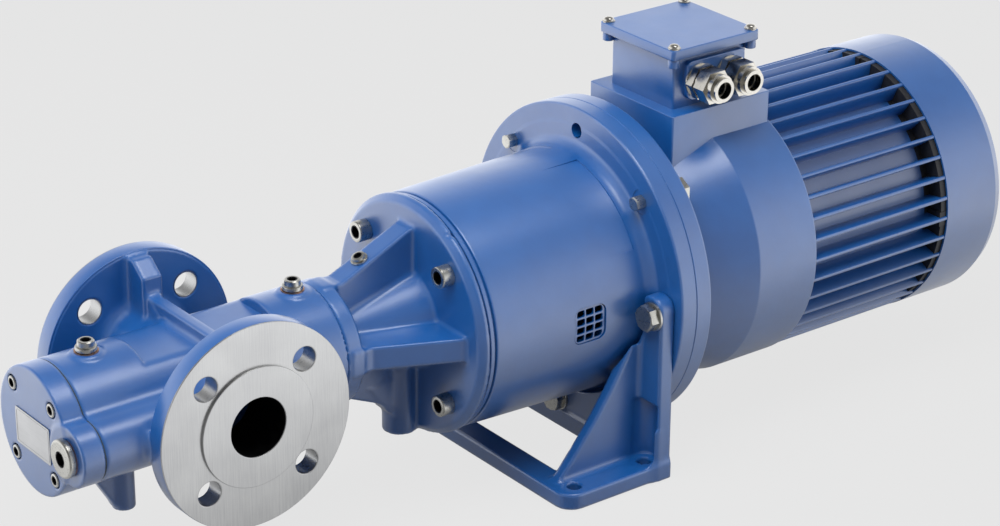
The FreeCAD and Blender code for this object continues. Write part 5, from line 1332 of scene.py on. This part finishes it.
@dataclass
class BellHousing:
    """The bell between pump and motor, with guarded windows and its motor flange."""

    front: float = 191.0
    groove: float = 85.0
    start: float = 89.0
    end: float = 93.0
    flange_face: float = BELL_FACE
    flange: float = 125.0
    flange_back: float = MOTOR_FACE
    window: float = 280.0
    half: float = 14.0
    guard_radius: float = 90.0
    fillet_run: float = 10.5
    fillet_rise: float = 7.6

    def shell(self) -> Object:
        """The turned bell with its windows and bolt holes cut."""
        flare = self.flange_face - 17
        slope = (self.end - self.start) / (flare - self.front - 3)
        lip = self.front + 1.6
        profile = [(self.front, 55.4), (self.front, self.groove), (lip, self.groove), (lip, self.start - 1.0),
                   (lip + 0.4, self.start - 0.5), (lip + 3.0, self.start - 0.5), (lip + 3.4, self.start - 1.0),
                   (lip + 3.4, self.start - 2.2), (lip + 5.0, self.start - 2.2), (lip + 5.0, self.start - 0.9),
                   (lip + 5.3, self.start - 0.25), (lip + 6.0, self.start)]
        bend = self.flange_face - 0.4 - self.fillet_run
        for i in range(1, 9):
            x = lip + 6.0 + (bend - 0.5 - lip - 6.0) * i / 8
            profile.append((x, self.start + slope * (x - self.front - 3)))
        foot = self.start + slope * (bend - self.front - 3)
        for i in range(11):
            angle = math.radians(9 * i)
            profile.append((bend + self.fillet_run * math.sin(angle), foot + self.fillet_rise * (1 - math.cos(angle))))
        profile += [(self.flange_face - 0.4, 110.0), (self.flange_face, 112.0), (self.flange_face, self.flange - 1.2),
                    (self.flange_face + 0.4, self.flange - 0.35), (self.flange_face + 1.2, self.flange),
                    (self.flange_back - 0.6, self.flange), (self.flange_back, self.flange - 0.6),
                    (self.flange_back, 90.1), (self.flange_back - 4.5, 90.1), (self.flange_back - 4.5, 86.0),
                    (flare, 86.0), (self.front + 14, self.start - 8.0), (self.front + 14, 55.4)]
        shell = Maker.lathed("bell_shell", profile, Finishes.CAST, Axis.X, (0, 0), 224)
        cutters = [Maker.cutter(self.opening(self.half + 0.2, 6.5), Axis.Y, -130, 130)]
        spots = Outline.spots(BOLT_CIRCLE, 8, 0.0)
        cutters += [Maker.cutter(Outline.circle(spot, radius, 28), Axis.X, self.flange_face - 4, self.flange_back + 4)
                    for spot, radius in zip(spots, (5.9, 4.8) * 4)]
        faced = [Maker.cutter(Outline.circle(spot, 9.5, 40), Axis.X, flare - 6, self.flange_face - 0.01)
                 for spot in spots[1::2]]
        flats = [Maker.cutter(self.sector(side, 28.0, 81.0, 92.15, 99.0), Axis.X, 284.0, bend - 0.6)
                 for side in (1, -1)]
        return Maker.carved(Maker.carved(Maker.carved(shell, cutters), faced), flats)

    def opening(self, half: float, radius: float) -> Profile:
        """A square about a window's middle with round corners."""
        return Outline.box((self.window - half, -half), (self.window + half, half), radius, 6)

    @staticmethod
    def sector(side: int, first: float, last: float, inner: float, outer: float) -> Profile:
        """A ring's sector between two heights in degrees above the window's line."""
        angles = [math.radians(first + (last - first) * i / 20) for i in range(21)]
        near = [(side * inner * math.cos(a), inner * math.sin(a)) for a in angles]
        far = [(side * outer * math.cos(a), outer * math.sin(a)) for a in reversed(angles)]
        return near + far

    def guard(self, side: int) -> Object:
        """The curved guard with square holes in one window."""
        k = self.half - 0.1
        rims = {(0, 0): 0, (2, 0): 1, (2, 3): 2, (0, 3): 3}
        holes = []
        for column in range(3):
            for line in range(4):
                x = self.window - k + 2.2 + column * 8.2
                z = -k + 1.7 + line * 6.5
                spots = [(x, z), (x + 6.9, z), (x + 6.9, z + 5.0), (x, z + 5.0)]
                rim = rims.get((column, line))
                holes.append(Outline.rounded([(*spot, 3.6 if i == rim else 1.0) for i, spot in enumerate(spots)], 4))
        plate = Maker.plate(f"window_guard_{'left' if side > 0 else 'right'}", [self.opening(k, 6.3), *holes], Axis.Y,
                            -1.0, 1.0, Finishes.SMOOTH, 0.25)
        radius = self.guard_radius / 1000
        for vertex in plate.data.vertices:
            z = vertex.co.z + ORIGIN[2] / 1000
            vertex.co.y += side * math.sqrt(radius ** 2 - z * z)
        return plate

    def build(self) -> None:
        """Builds the bell and sets its pieces."""
        Maker.set_on(self.shell(), "pump_paint", "bell_housing")
        guards = Maker.joined("bell_window_guards", [self.guard(1), self.guard(-1)])
        Maker.set_on(guards, "sheet_paint", "bell_grilles")


@dataclass
class FootBracket:
    """Cast foot under the bell: base frame with its opening, two uprights and their gussets."""

    bottom: float = -132.0
    front: float = 241.0
    leg_front: float = 325.3
    leg_back: float = BELL_FACE
    half: float = 117.0
    base: float = 13.0
    opening: float = 97.4
    inside: float = 82.5
    feet: Spot = (257.3, 323.7)
    step: float = 1.7

    def casting(self) -> Object:
        """The bracket as one skin with cast fillets."""
        b, h = self.bottom, self.half
        outline = Outline.rounded([(self.front, -h, 14), (self.leg_back, -h, 2), (self.leg_back, h, 2),
                                   (self.front, h, 14)], 6)
        plate = Solid.prism(Axis.Z, outline, b, b + self.base, 1.8)
        top = 14.0
        arm = [(-h, b), (h, b), (h, top, 14), (h - 21, top, 8), (h - 31, -40), (30 - h, -40), (21 - h, top, 8),
               (-h, top, 14)]
        leg = Solid.prism(Axis.X, Outline.rounded(arm, 6), self.leg_front, self.leg_back, 1.8)
        parts = []
        for side in (1, -1):
            y = side * 90.0
            gusset = [(self.front + 8, b + 8), (self.leg_front + 6, b + 8), (self.leg_front + 6, -10),
                      (self.leg_front - 2, -14)]
            for share in (0.2, 0.4, 0.6, 0.8):
                x = self.leg_front - 2 + (self.front + 8 - self.leg_front + 2) * share
                z = -14 + (b + 12 + 14) * share
                sag = 5.0 * math.sin(math.pi * share)
                gusset.append((x + sag, z - sag * 0.2))
            gusset.append((self.front + 8, b + 12))
            parts.append(Solid.prism(Axis.Y, gusset, y - 4.5, y + 4.5, 1.8))
            heel = [(side * 98, b + 2), (side * 115.5, b + 2), (side * 115.5, b + 40), (side * 104, b + 44)]
            parts.append(Solid.prism(Axis.X, heel, self.leg_front - 6, self.leg_front + 4, 2.5))
        ring = Solid.union(4.5, Solid.union(6.0, plate, leg), *parts)
        bell = Solid.rod(Axis.X, (0, 0), self.opening, self.front - 20, self.leg_back + 10, 0.5)
        window = Solid.prism(Axis.Z, Outline.box((self.front + 21, -self.inside), (self.leg_front - 2, self.inside),
                                                 8, 6), b - 5, b + self.base + 8, 0.6)
        cuts = [bell, window]
        for y in (-104.0, 104.0):
            cuts.append(Solid.rod(Axis.Z, (self.feet[1], y), 10.8, b + self.base, b + 61, 0.3))
            cuts += [Solid.rod(Axis.Z, (x, y), 5.5, b - 5, b + 30, 0.4) for x in self.feet]
        step = BOLT_CIRCLE * math.cos(math.radians(45))
        for radius, spots in ((12.6, ((step, -step), (-step, -step))),
                              (5.9, ((BOLT_CIRCLE, 0), (-BOLT_CIRCLE, 0), (0, -BOLT_CIRCLE)))):
            cuts += [Solid.rod(Axis.X, spot, radius, self.leg_front - 5, self.leg_back + 5, 0.4) for spot in spots]
        ring = Solid.within(Solid.within(ring, Axis.Z, b, 20.0), Axis.X, self.front, self.leg_back)
        body = Solid.without(1.0, ring, *cuts)
        return Maker.skinned("foot_casting", body, (self.front, -h, b), (self.leg_back, h, top), self.step,
                             Finishes.CAST)

    def build(self) -> None:
        """Builds the bracket in place of its CAD node."""
        Maker.set_on(self.casting(), "pump_paint", "foot_bracket")


@dataclass
class Motor:
    """The flange motor: end shield, and frame with fins and the terminal box's pedestal."""

    face: float = MOTOR_FACE
    flange_back: float = 366.3
    shield_back: float = 388.0
    cone_back: float = 430.0
    radius: float = 107.5
    fin_front: float = 487.0
    fin_back: float = 632.0
    fin_root: float = 92.0
    fin_top: float = 106.6
    fin_half: Spot = (2.0, 1.6)
    fins: int = 40
    fin_smooth: float = 30.0
    cone_front: float = 86.0
    cowl_front: float = 627.0
    pedestal: tuple[float, float, float, float] = (389.6, 485.5, 48.4, 121.0)

    @property
    def joint(self) -> float:
        """The cone's radius where the end shield meets the frame."""
        share = (self.shield_back - self.flange_back) / (self.cone_back - self.flange_back)
        return self.cone_front + (self.radius - self.cone_front) * share

    def shield(self) -> Object:
        """The end shield: flange disc and the start of the cone."""
        profile = [(self.face - 4, 19.5), (self.face - 4, 89.7), (self.face, 89.9), (self.face, 124.4),
                   (self.face + 0.6, 125.0), (self.flange_back - 1.2, 125.0), (self.flange_back - 0.35, 124.65),
                   (self.flange_back, 123.8), (self.flange_back, 92.0), (self.flange_back + 0.6, 89.0),
                   (self.flange_back + 2.2, 87.6), (self.flange_back + 5.0, 88.6), (self.shield_back, self.joint),
                   (self.shield_back, 82.0), (self.face + 18, 74.0), (self.face + 18, 42.0), (self.face + 18, 19.5)]
        shell = Maker.lathed("end_shield_casting", profile, Finishes.CAST, Axis.X, (0, 0), 224)
        return Maker.carved(shell, [Maker.cutter(Outline.circle(spot, 7.2, 32), Axis.X, self.face - 4,
                                                 self.flange_back + 4) for spot in Outline.spots(BOLT_CIRCLE)])

    def frame_casting(self) -> Object:
        """Cone, plain band and fin roots, with the sharp pedestal of the terminal box."""
        root, tail = self.fin_root, self.fin_back - 16
        band = Maker.lathed("motor_band", [
            (self.shield_back, 82.2), (self.shield_back, self.joint), (self.cone_back - 0.4, self.radius - 0.15),
            (self.cone_back + 0.4, self.radius), (self.fin_front - 0.9, self.radius),
            (self.fin_front - 0.25, self.radius - 0.25), (self.fin_front, self.radius - 0.9),
            (self.fin_front, root + 1.4), (self.fin_front + 0.5, root + 0.4), (self.fin_front + 1.5, root),
            (tail, root), (tail, 82.2)], Finishes.CAST, Axis.X, (0, 0), 240)
        hole = [(417, -22), (453.8, -22), (453.8, 22), (417, 22)]
        duct = Maker.cutter(hole, Axis.Z, 60, 140)
        front, back, half, top = self.pedestal
        block = Maker.plate("motor_pedestal", [Outline.box((front, -half), (back, half), 1.6, 4), hole], Axis.Z, 62,
                            top, Finishes.CAST, 0.6)
        under = Maker.cutter(Outline.circle((0, 0), 84.0, 160), Axis.X, front - 5, back + 5)
        return Maker.joined("motor_frame_casting", [Maker.carved(band, [duct]), Maker.carved(block, [under])])

    def painted_shade_ring(self) -> Object:
        """A black ring of painted shade for the inside of the cowl, seen between the ends of the fins."""
        tail, root = self.fin_back - 16, self.fin_root - 0.3
        profile = [(tail - 0.2, 86), (tail - 0.2, root), (tail + 5.5, root), (tail + 5.5, 105.0), (tail + 14, 105.0),
                   (tail + 14, 101.0), (tail + 8.5, 101.0), (tail + 8.5, 86)]
        # Black plastic here is painted shade, not a part of the motor.
        return Maker.lathed("dark_cowl_mouth", profile, Finishes.BLACK, Axis.X, (0, 0), 160)

    def fin_ring(self) -> Object:
        """Forty cast fins with draught and round crests."""
        root, top = self.fin_root - 2.0, self.fin_top
        half_root, half_top = self.fin_half
        section = [(root, -half_root), (top - 1.1, -half_top), (top - 0.3, -half_top * 0.72), (top, -half_top * 0.2),
                   (top, half_top * 0.2), (top - 0.3, half_top * 0.72), (top - 1.1, half_top), (root, half_root)]
        corners = [row((x, *place)) for x in (self.fin_front - 1, self.cowl_front - 0.2) for place in section]
        n = len(section)
        faces = [(i, i + 1, n + i + 1, n + i) for i in range(n - 1)]
        faces += [(n - 1, 0, n, 2 * n - 1), tuple(range(n - 1, -1, -1)), tuple(range(n, 2 * n))]
        fin = Maker.plain("cast_fin", corners, faces, Finishes.CAST, self.fin_smooth)
        Maker.outwards(fin)
        return Pattern.round_shaft("cooling_fins", fin, self.fins, self.fin_smooth)

    def build(self) -> None:
        """Builds the motor's castings."""
        Maker.set_on(self.shield(), "motor_paint", "motor_end_shield")
        Maker.set_on(self.frame_casting(), "motor_paint", "motor_housing")
        Maker.set_on(self.fin_ring(), "motor_paint")
        Maker.set_on(self.painted_shade_ring(), "motor_paint")


@dataclass
class TerminalBox:
    """The terminal box with its screwed lid. The glands are CAD nodes."""

    lid: Point = (393.0, 477.8, 42.9)
    box: Point = (400.0, 470.8, 35.9)
    base: float = 121.0
    lid_low: float = 161.8
    lid_top: float = 169.8
    glands: tuple[Spot, Spot] = ((420.0, 142.0), (449.0, 142.0))

    @staticmethod
    def outline(size: Point, inset: float, radius: float, steps: int) -> Profile:
        """The outline of the box or of its lid, so much smaller all round."""
        front, back, half = size
        return Outline.box((front + inset, inset - half), (back - inset, half - inset), radius, steps)

    def walls(self) -> Object:
        """The box's four walls, the pad under the glands and the posts under the lid's corners."""
        half = self.box[2]
        pieces = [Maker.plate("box_walls", [self.outline(self.box, 0, 2, 4), self.outline(self.box, 4, 3, 5)], Axis.Z,
                              self.base - 0.5, self.lid_low - 0.4, Finishes.CAST, 0.4)]
        pad = Outline.rounded([(409.5, 126.5, 7), (465.5, 126.5, 7), (465.5, 157.5, 4), (409.5, 157.5, 4)], 6)
        bores = [Outline.circle(spot, 10.2, 40) for spot in self.glands]
        pieces.append(Maker.plate("gland_pad", [pad, *bores], Axis.Y, -half - 5.0, 0.5 - half, Finishes.CAST, 0.7))
        pieces += [Maker.plate("lid_post", [Outline.circle(spot, 4.4, 32)], Axis.Z, self.lid_low - 6.5,
                               self.lid_low + 1, Finishes.CAST, 0.5) for spot in self.screw_spots()]
        return Maker.joined("terminal_box_walls", pieces)

    def cap(self) -> Object:
        """The flat lid."""
        return Maker.plate("terminal_lid_casting", [self.outline(self.lid, 0, 3, 5)], Axis.Z, self.lid_low,
                           self.lid_top, Finishes.CAST, 0.8)

    def screw_spots(self) -> Profile:
        """Places of the four lid screws."""
        front, back, half = self.lid
        return [(x, y) for x in (front + 5, back - 5) for y in (5 - half, half - 5)]

    def screws(self) -> Object:
        """Round-headed lid screws with a washer."""
        x, _, base = ORIGIN
        shell = [(-0.2, 0), (-0.2, 4.6), (0.3, 4.8), (0.9, 4.8), (1.0, 4.1), (2.2, 3.9), (3.1, 3.1), (3.6, 1.8),
                 (3.75, 0)]
        body = Maker.lathed("lid_screw", [(z + base, r) for z, r in shell], Finishes.NICKEL, Axis.Z, (x, 0), 32)
        places = [(*spot, self.lid_top) for spot in self.screw_spots()]
        return Pattern.at("terminal_lid_screws", body, places, (0, 0, 1), 9)

    def build(self) -> None:
        """Builds the box and its fittings."""
        Maker.set_on(self.walls(), "motor_paint", "terminal_box")
        Maker.set_on(self.cap(), "motor_paint", "terminal_box_lid")
        Maker.set_on(self.screws(), "zinc", "lid_screws")


class CarriedNodes:
    """Finishes of the CAD nodes that stay as they are."""

    NODES = {
        # The spindle liner is painted dark as the shade inside the pump's bore.
        Finishes.PAINTED_SHADE: ("spindle_liner",),
        Finishes.PAPER: ("end_cover_gasket", "terminal_box_gasket"),
        Finishes.COPPER: ("relief_plug_seal", "vent_plug_seals"),
        Finishes.STEEL: ("relief_spring_adjuster", "relief_valve_spring", "relief_valve_piston", "shaft_sleeve",
                         "motor_shaft", "pump_coupling_hub", "motor_coupling_hub", "shaft_keys"),
        Finishes.CARBON: ("shaft_seal_seat", "shaft_seal_ring"),
        Finishes.GROUND: ("pump_bearing_outer_ring", "pump_bearing_inner_ring", "pump_bearing_balls",
                          "motor_bearing_outer_rings", "motor_bearing_inner_rings", "motor_bearing_balls",
                          "main_spindle", "idler_spindle_upper", "idler_spindle_lower"),
        Finishes.SMOOTH: ("bearing_cover",),
        Finishes.ZINC: ("bearing_cover_screws", "foot_bracket_bolts", "motor_flange_bolts", "motor_flange_nuts",
                        "cowl_screws", "relief_valve_plug", "end_cover_screws", "vent_plugs", "mounting_screws",
                        "lid_screws", "rib_plug"),
        Finishes.SHEETS: ("stator_core", "rotor_core"),
        Finishes.WIRE: ("stator_windings", "stator_rear_windings"),
        Finishes.NICKEL: ("cable_gland_bodies", "cable_gland_nuts"),
        Finishes.SPIDER: ("coupling_spider",),
        Finishes.BLACK: ("cooling_fan", "rear_end_shield"),
        Finishes.SHEET: ("fan_cowl", "bell_grilles"),
        Finishes.CREAM: ("terminal_block",),
        Finishes.CAST: ("motor_housing", "pump_casing", "end_cover", "bell_housing", "foot_bracket",
                        "motor_end_shield", "terminal_box", "terminal_box_lid"),
        Finishes.PLATE: ("name_plate",),
    }
    FINISHES = {name: finish for finish, names in NODES.items() for name in names}

    def dress(self) -> None:
        """Gives each carried node its material."""
        for name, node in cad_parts.items():
            material = Finishes.get(self.FINISHES.get(name, Finishes.STEEL))
            for slot in node.material_slots:
                slot.material = material
            if not node.material_slots:
                node.data.materials.append(material)


@dataclass
class Studio:
    """Camera, floor, lamps and the pale surroundings."""

    place: Point = (-1.2194, -1.5592, 1.0285)
    azimuth: float = -37.50
    elevation: float = 24.06
    roll: float = 0.41
    focal: float = 2914.07
    image: tuple[int, int] = (1000, 526)
    back_tone: float = 0.82
    air_colour: Colour = (0.90, 0.93, 1.0)
    air_light: float = 0.38
    wall_colour: Colour = (0.97, 0.98, 1.0)
    wall_shine: float = 1.27
    ceiling_shine: float = 0.25
    floor_tone: float = 0.38
    floor_shine: float = 1.46
    shadow_shine: float = 0.28
    floor_evenness: float = 0.92
    floor_stretch: Point = (0.36, 1.0, 0.0)
    floor_fade: Spot = (0.08, 0.40)
    floor_half: float = 14.0
    floor_level: float = -0.0006
    wall_fade: Spot = (0.22, 0.74)
    facing: Point = (-0.62, -0.79, 0.0)
    ahead_fade: Spot = (0.38, 0.74)
    ahead_shine: float = 0.25

    def camera(self) -> None:
        """The photograph's camera."""
        a, e, r = (math.radians(v) for v in (self.azimuth, self.elevation, self.roll))
        back = Vector((math.sin(a) * math.cos(e), -math.cos(a) * math.cos(e), math.sin(e)))
        right = (-back).cross(Vector((0, 0, 1))).normalized()
        up = right.cross(-back)
        across = right * math.cos(r) + up * math.sin(r)
        above = up * math.cos(r) - right * math.sin(r)
        data = bpy.data.cameras.new("photo_camera")
        data.sensor_width = 36.0
        data.lens = self.focal / self.image[0] * 36.0
        data.clip_start, data.clip_end = 0.05, 60.0
        item = link_object("photo_camera", data)
        turn = Matrix((across, above, back)).transposed().to_4x4()
        item.matrix_world = Matrix.Translation(Vector(self.place)) @ turn
        bpy.context.scene.camera = item

    def lamp(self, name: str, place: Point, target: Point, size: Spot, power: float,
             mirrored: bool = False) -> None:
        """A soft box aimed at a point; only a mirrored one shows in reflections."""
        data = bpy.data.lights.new(name, "AREA")
        data.shape = "RECTANGLE"
        data.size, data.size_y = size
        data.energy = power
        item = link_object(name, data)
        item.visible_glossy = mirrored
        aim = (Vector(target) - Vector(place)).to_track_quat("-Z", "Y")
        item.matrix_world = Matrix.Translation(Vector(place)) @ aim.to_matrix().to_4x4()

    @staticmethod
    def faded(tree: bpy.types.NodeTree, value: Socket, limits: Spot, shines: Spot) -> Socket:
        """A shine that goes from one strength to another between two limits of a value."""
        return add_node(tree, "ShaderNodeMapRange", dict(enumerate((value, *limits, *shines)))).outputs[0]

    def darker_ahead(self, tree: bpy.types.NodeTree, shine: Socket, direction: Socket, sign: float) -> Socket:
        """The shine, dimmed towards the camera."""
        ahead = add_node(tree, "ShaderNodeVectorMath", {0: direction, 1: [sign * part for part in self.facing]},
                         operation="DOT_PRODUCT")
        dim = self.faded(tree, ahead.outputs["Value"], self.ahead_fade, (1.0, self.ahead_shine))
        return add_node(tree, "ShaderNodeMath", {0: shine, 1: dim}, operation="MULTIPLY").outputs[0]

    def world(self) -> None:
        """A pale room: even to the camera, and brighter near the floor than overhead in reflections."""
        world = bpy.data.worlds.new("pale_room")
        tree = empty_tree(world)
        where = add_node(tree, "ShaderNodeTexCoord").outputs["Generated"]
        height = add_node(tree, "ShaderNodeSeparateXYZ", {0: where}).outputs[2]
        fade = self.faded(tree, height, self.wall_fade, (self.wall_shine, self.ceiling_shine))
        bright = self.darker_ahead(tree, fade, where, 1.0)
        lit, shine, seen = (add_node(tree, "ShaderNodeBackground", {0: (*colour, 1), 1: strength}).outputs[0]
                            for colour, strength in ((self.air_colour, self.air_light), (self.wall_colour, bright),
                                                     ((self.back_tone,) * 3, 1.0)))
        path = add_node(tree, "ShaderNodeLightPath").outputs
        glossy = add_node(tree, "ShaderNodeMixShader", {0: path["Is Glossy Ray"], 1: lit, 2: shine}).outputs[0]
        camera = add_node(tree, "ShaderNodeMixShader", {0: path["Is Camera Ray"], 1: glossy, 2: seen}).outputs[0]
        add_node(tree, "ShaderNodeOutputWorld", {0: camera})
        bpy.context.scene.world = world

    def floor(self) -> None:
        """A wide pale floor: bright in reflections but darker there near the object as a painted shadow, and with a
        faint share of the object's shadow.
        """
        material = bpy.data.materials.new("pale_floor")
        tree = empty_tree(material)
        where = add_node(tree, "ShaderNodeNewGeometry").outputs
        oval = add_node(tree, "ShaderNodeVectorMath", {0: where["Position"], 1: self.floor_stretch},
                        operation="MULTIPLY").outputs[0]
        distance = add_node(tree, "ShaderNodeVectorMath", {0: oval}, operation="LENGTH").outputs["Value"]
        # Painted shadow: the floor's glow in reflections is dimmed near the object.
        fade = self.faded(tree, distance, self.floor_fade, (self.shadow_shine, self.floor_shine))
        bright = self.darker_ahead(tree, fade, where["Incoming"], -1.0)
        matt = add_node(tree, "ShaderNodeBsdfDiffuse", {0: (*(self.floor_tone,) * 3, 1)}).outputs[0]
        glow, shine = (add_node(tree, "ShaderNodeEmission", {0: (*colour, 1), 1: strength}).outputs[0]
                       for colour, strength in (((self.back_tone,) * 3, 1.0), (self.wall_colour, bright)))
        path = add_node(tree, "ShaderNodeLightPath").outputs
        share = add_node(tree, "ShaderNodeMath", {0: path["Is Camera Ray"], 1: self.floor_evenness},
                         operation="MULTIPLY").outputs[0]
        camera = add_node(tree, "ShaderNodeMixShader", {0: share, 1: matt, 2: glow}).outputs[0]
        glossy = add_node(tree, "ShaderNodeMixShader", {0: path["Is Glossy Ray"], 1: camera, 2: shine}).outputs[0]
        add_node(tree, "ShaderNodeOutputMaterial", {0: glossy})
        mesh = bpy.data.meshes.new("floor")
        corners = [(x * self.floor_half, y * self.floor_half, self.floor_level)
                   for x, y in ((-1, -1), (1, -1), (1, 1), (-1, 1))]
        mesh.from_pydata(corners, [], [(0, 1, 2, 3)])
        mesh.materials.append(material)
        link_object("floor", mesh)

    def build(self) -> None:
        """Sets the whole studio."""
        bpy.context.scene.view_settings.view_transform = "Standard"
        self.camera()
        self.world()
        self.floor()
        self.lamp("top_box", (-0.8, -0.3, 1.9), (-0.1, 0, 0.15), (1.4, 1.2), 38.0)
        self.lamp("left_box", (-2.2, 0.9, 1.3), (0, 0, 0.15), (1.6, 1.6), 13.0)
        self.lamp("right_box", (1.6, -2.0, 1.1), (0, 0, 0.15), (1.4, 1.4), 10.5)
        self.lamp("overhead_box", (0.32, -0.5, 2.2), (0.1, 0, 0.15), (0.9, 0.8), 8.0, True)


def main() -> None:
    """Builds every sub-assembly in order."""
    logging.basicConfig(level=logging.INFO, format="%(name)s %(message)s")
    CarriedNodes().dress()
    for part in (PumpCasting(), EndCover(), ReliefSpring(), Fasteners(), BellHousing(), FootBracket(), Motor(),
                 TerminalBox(), Studio()):
        part.build()
        LOG.info("%s built", type(part).__name__)


if __name__ == "__main__":
    main()
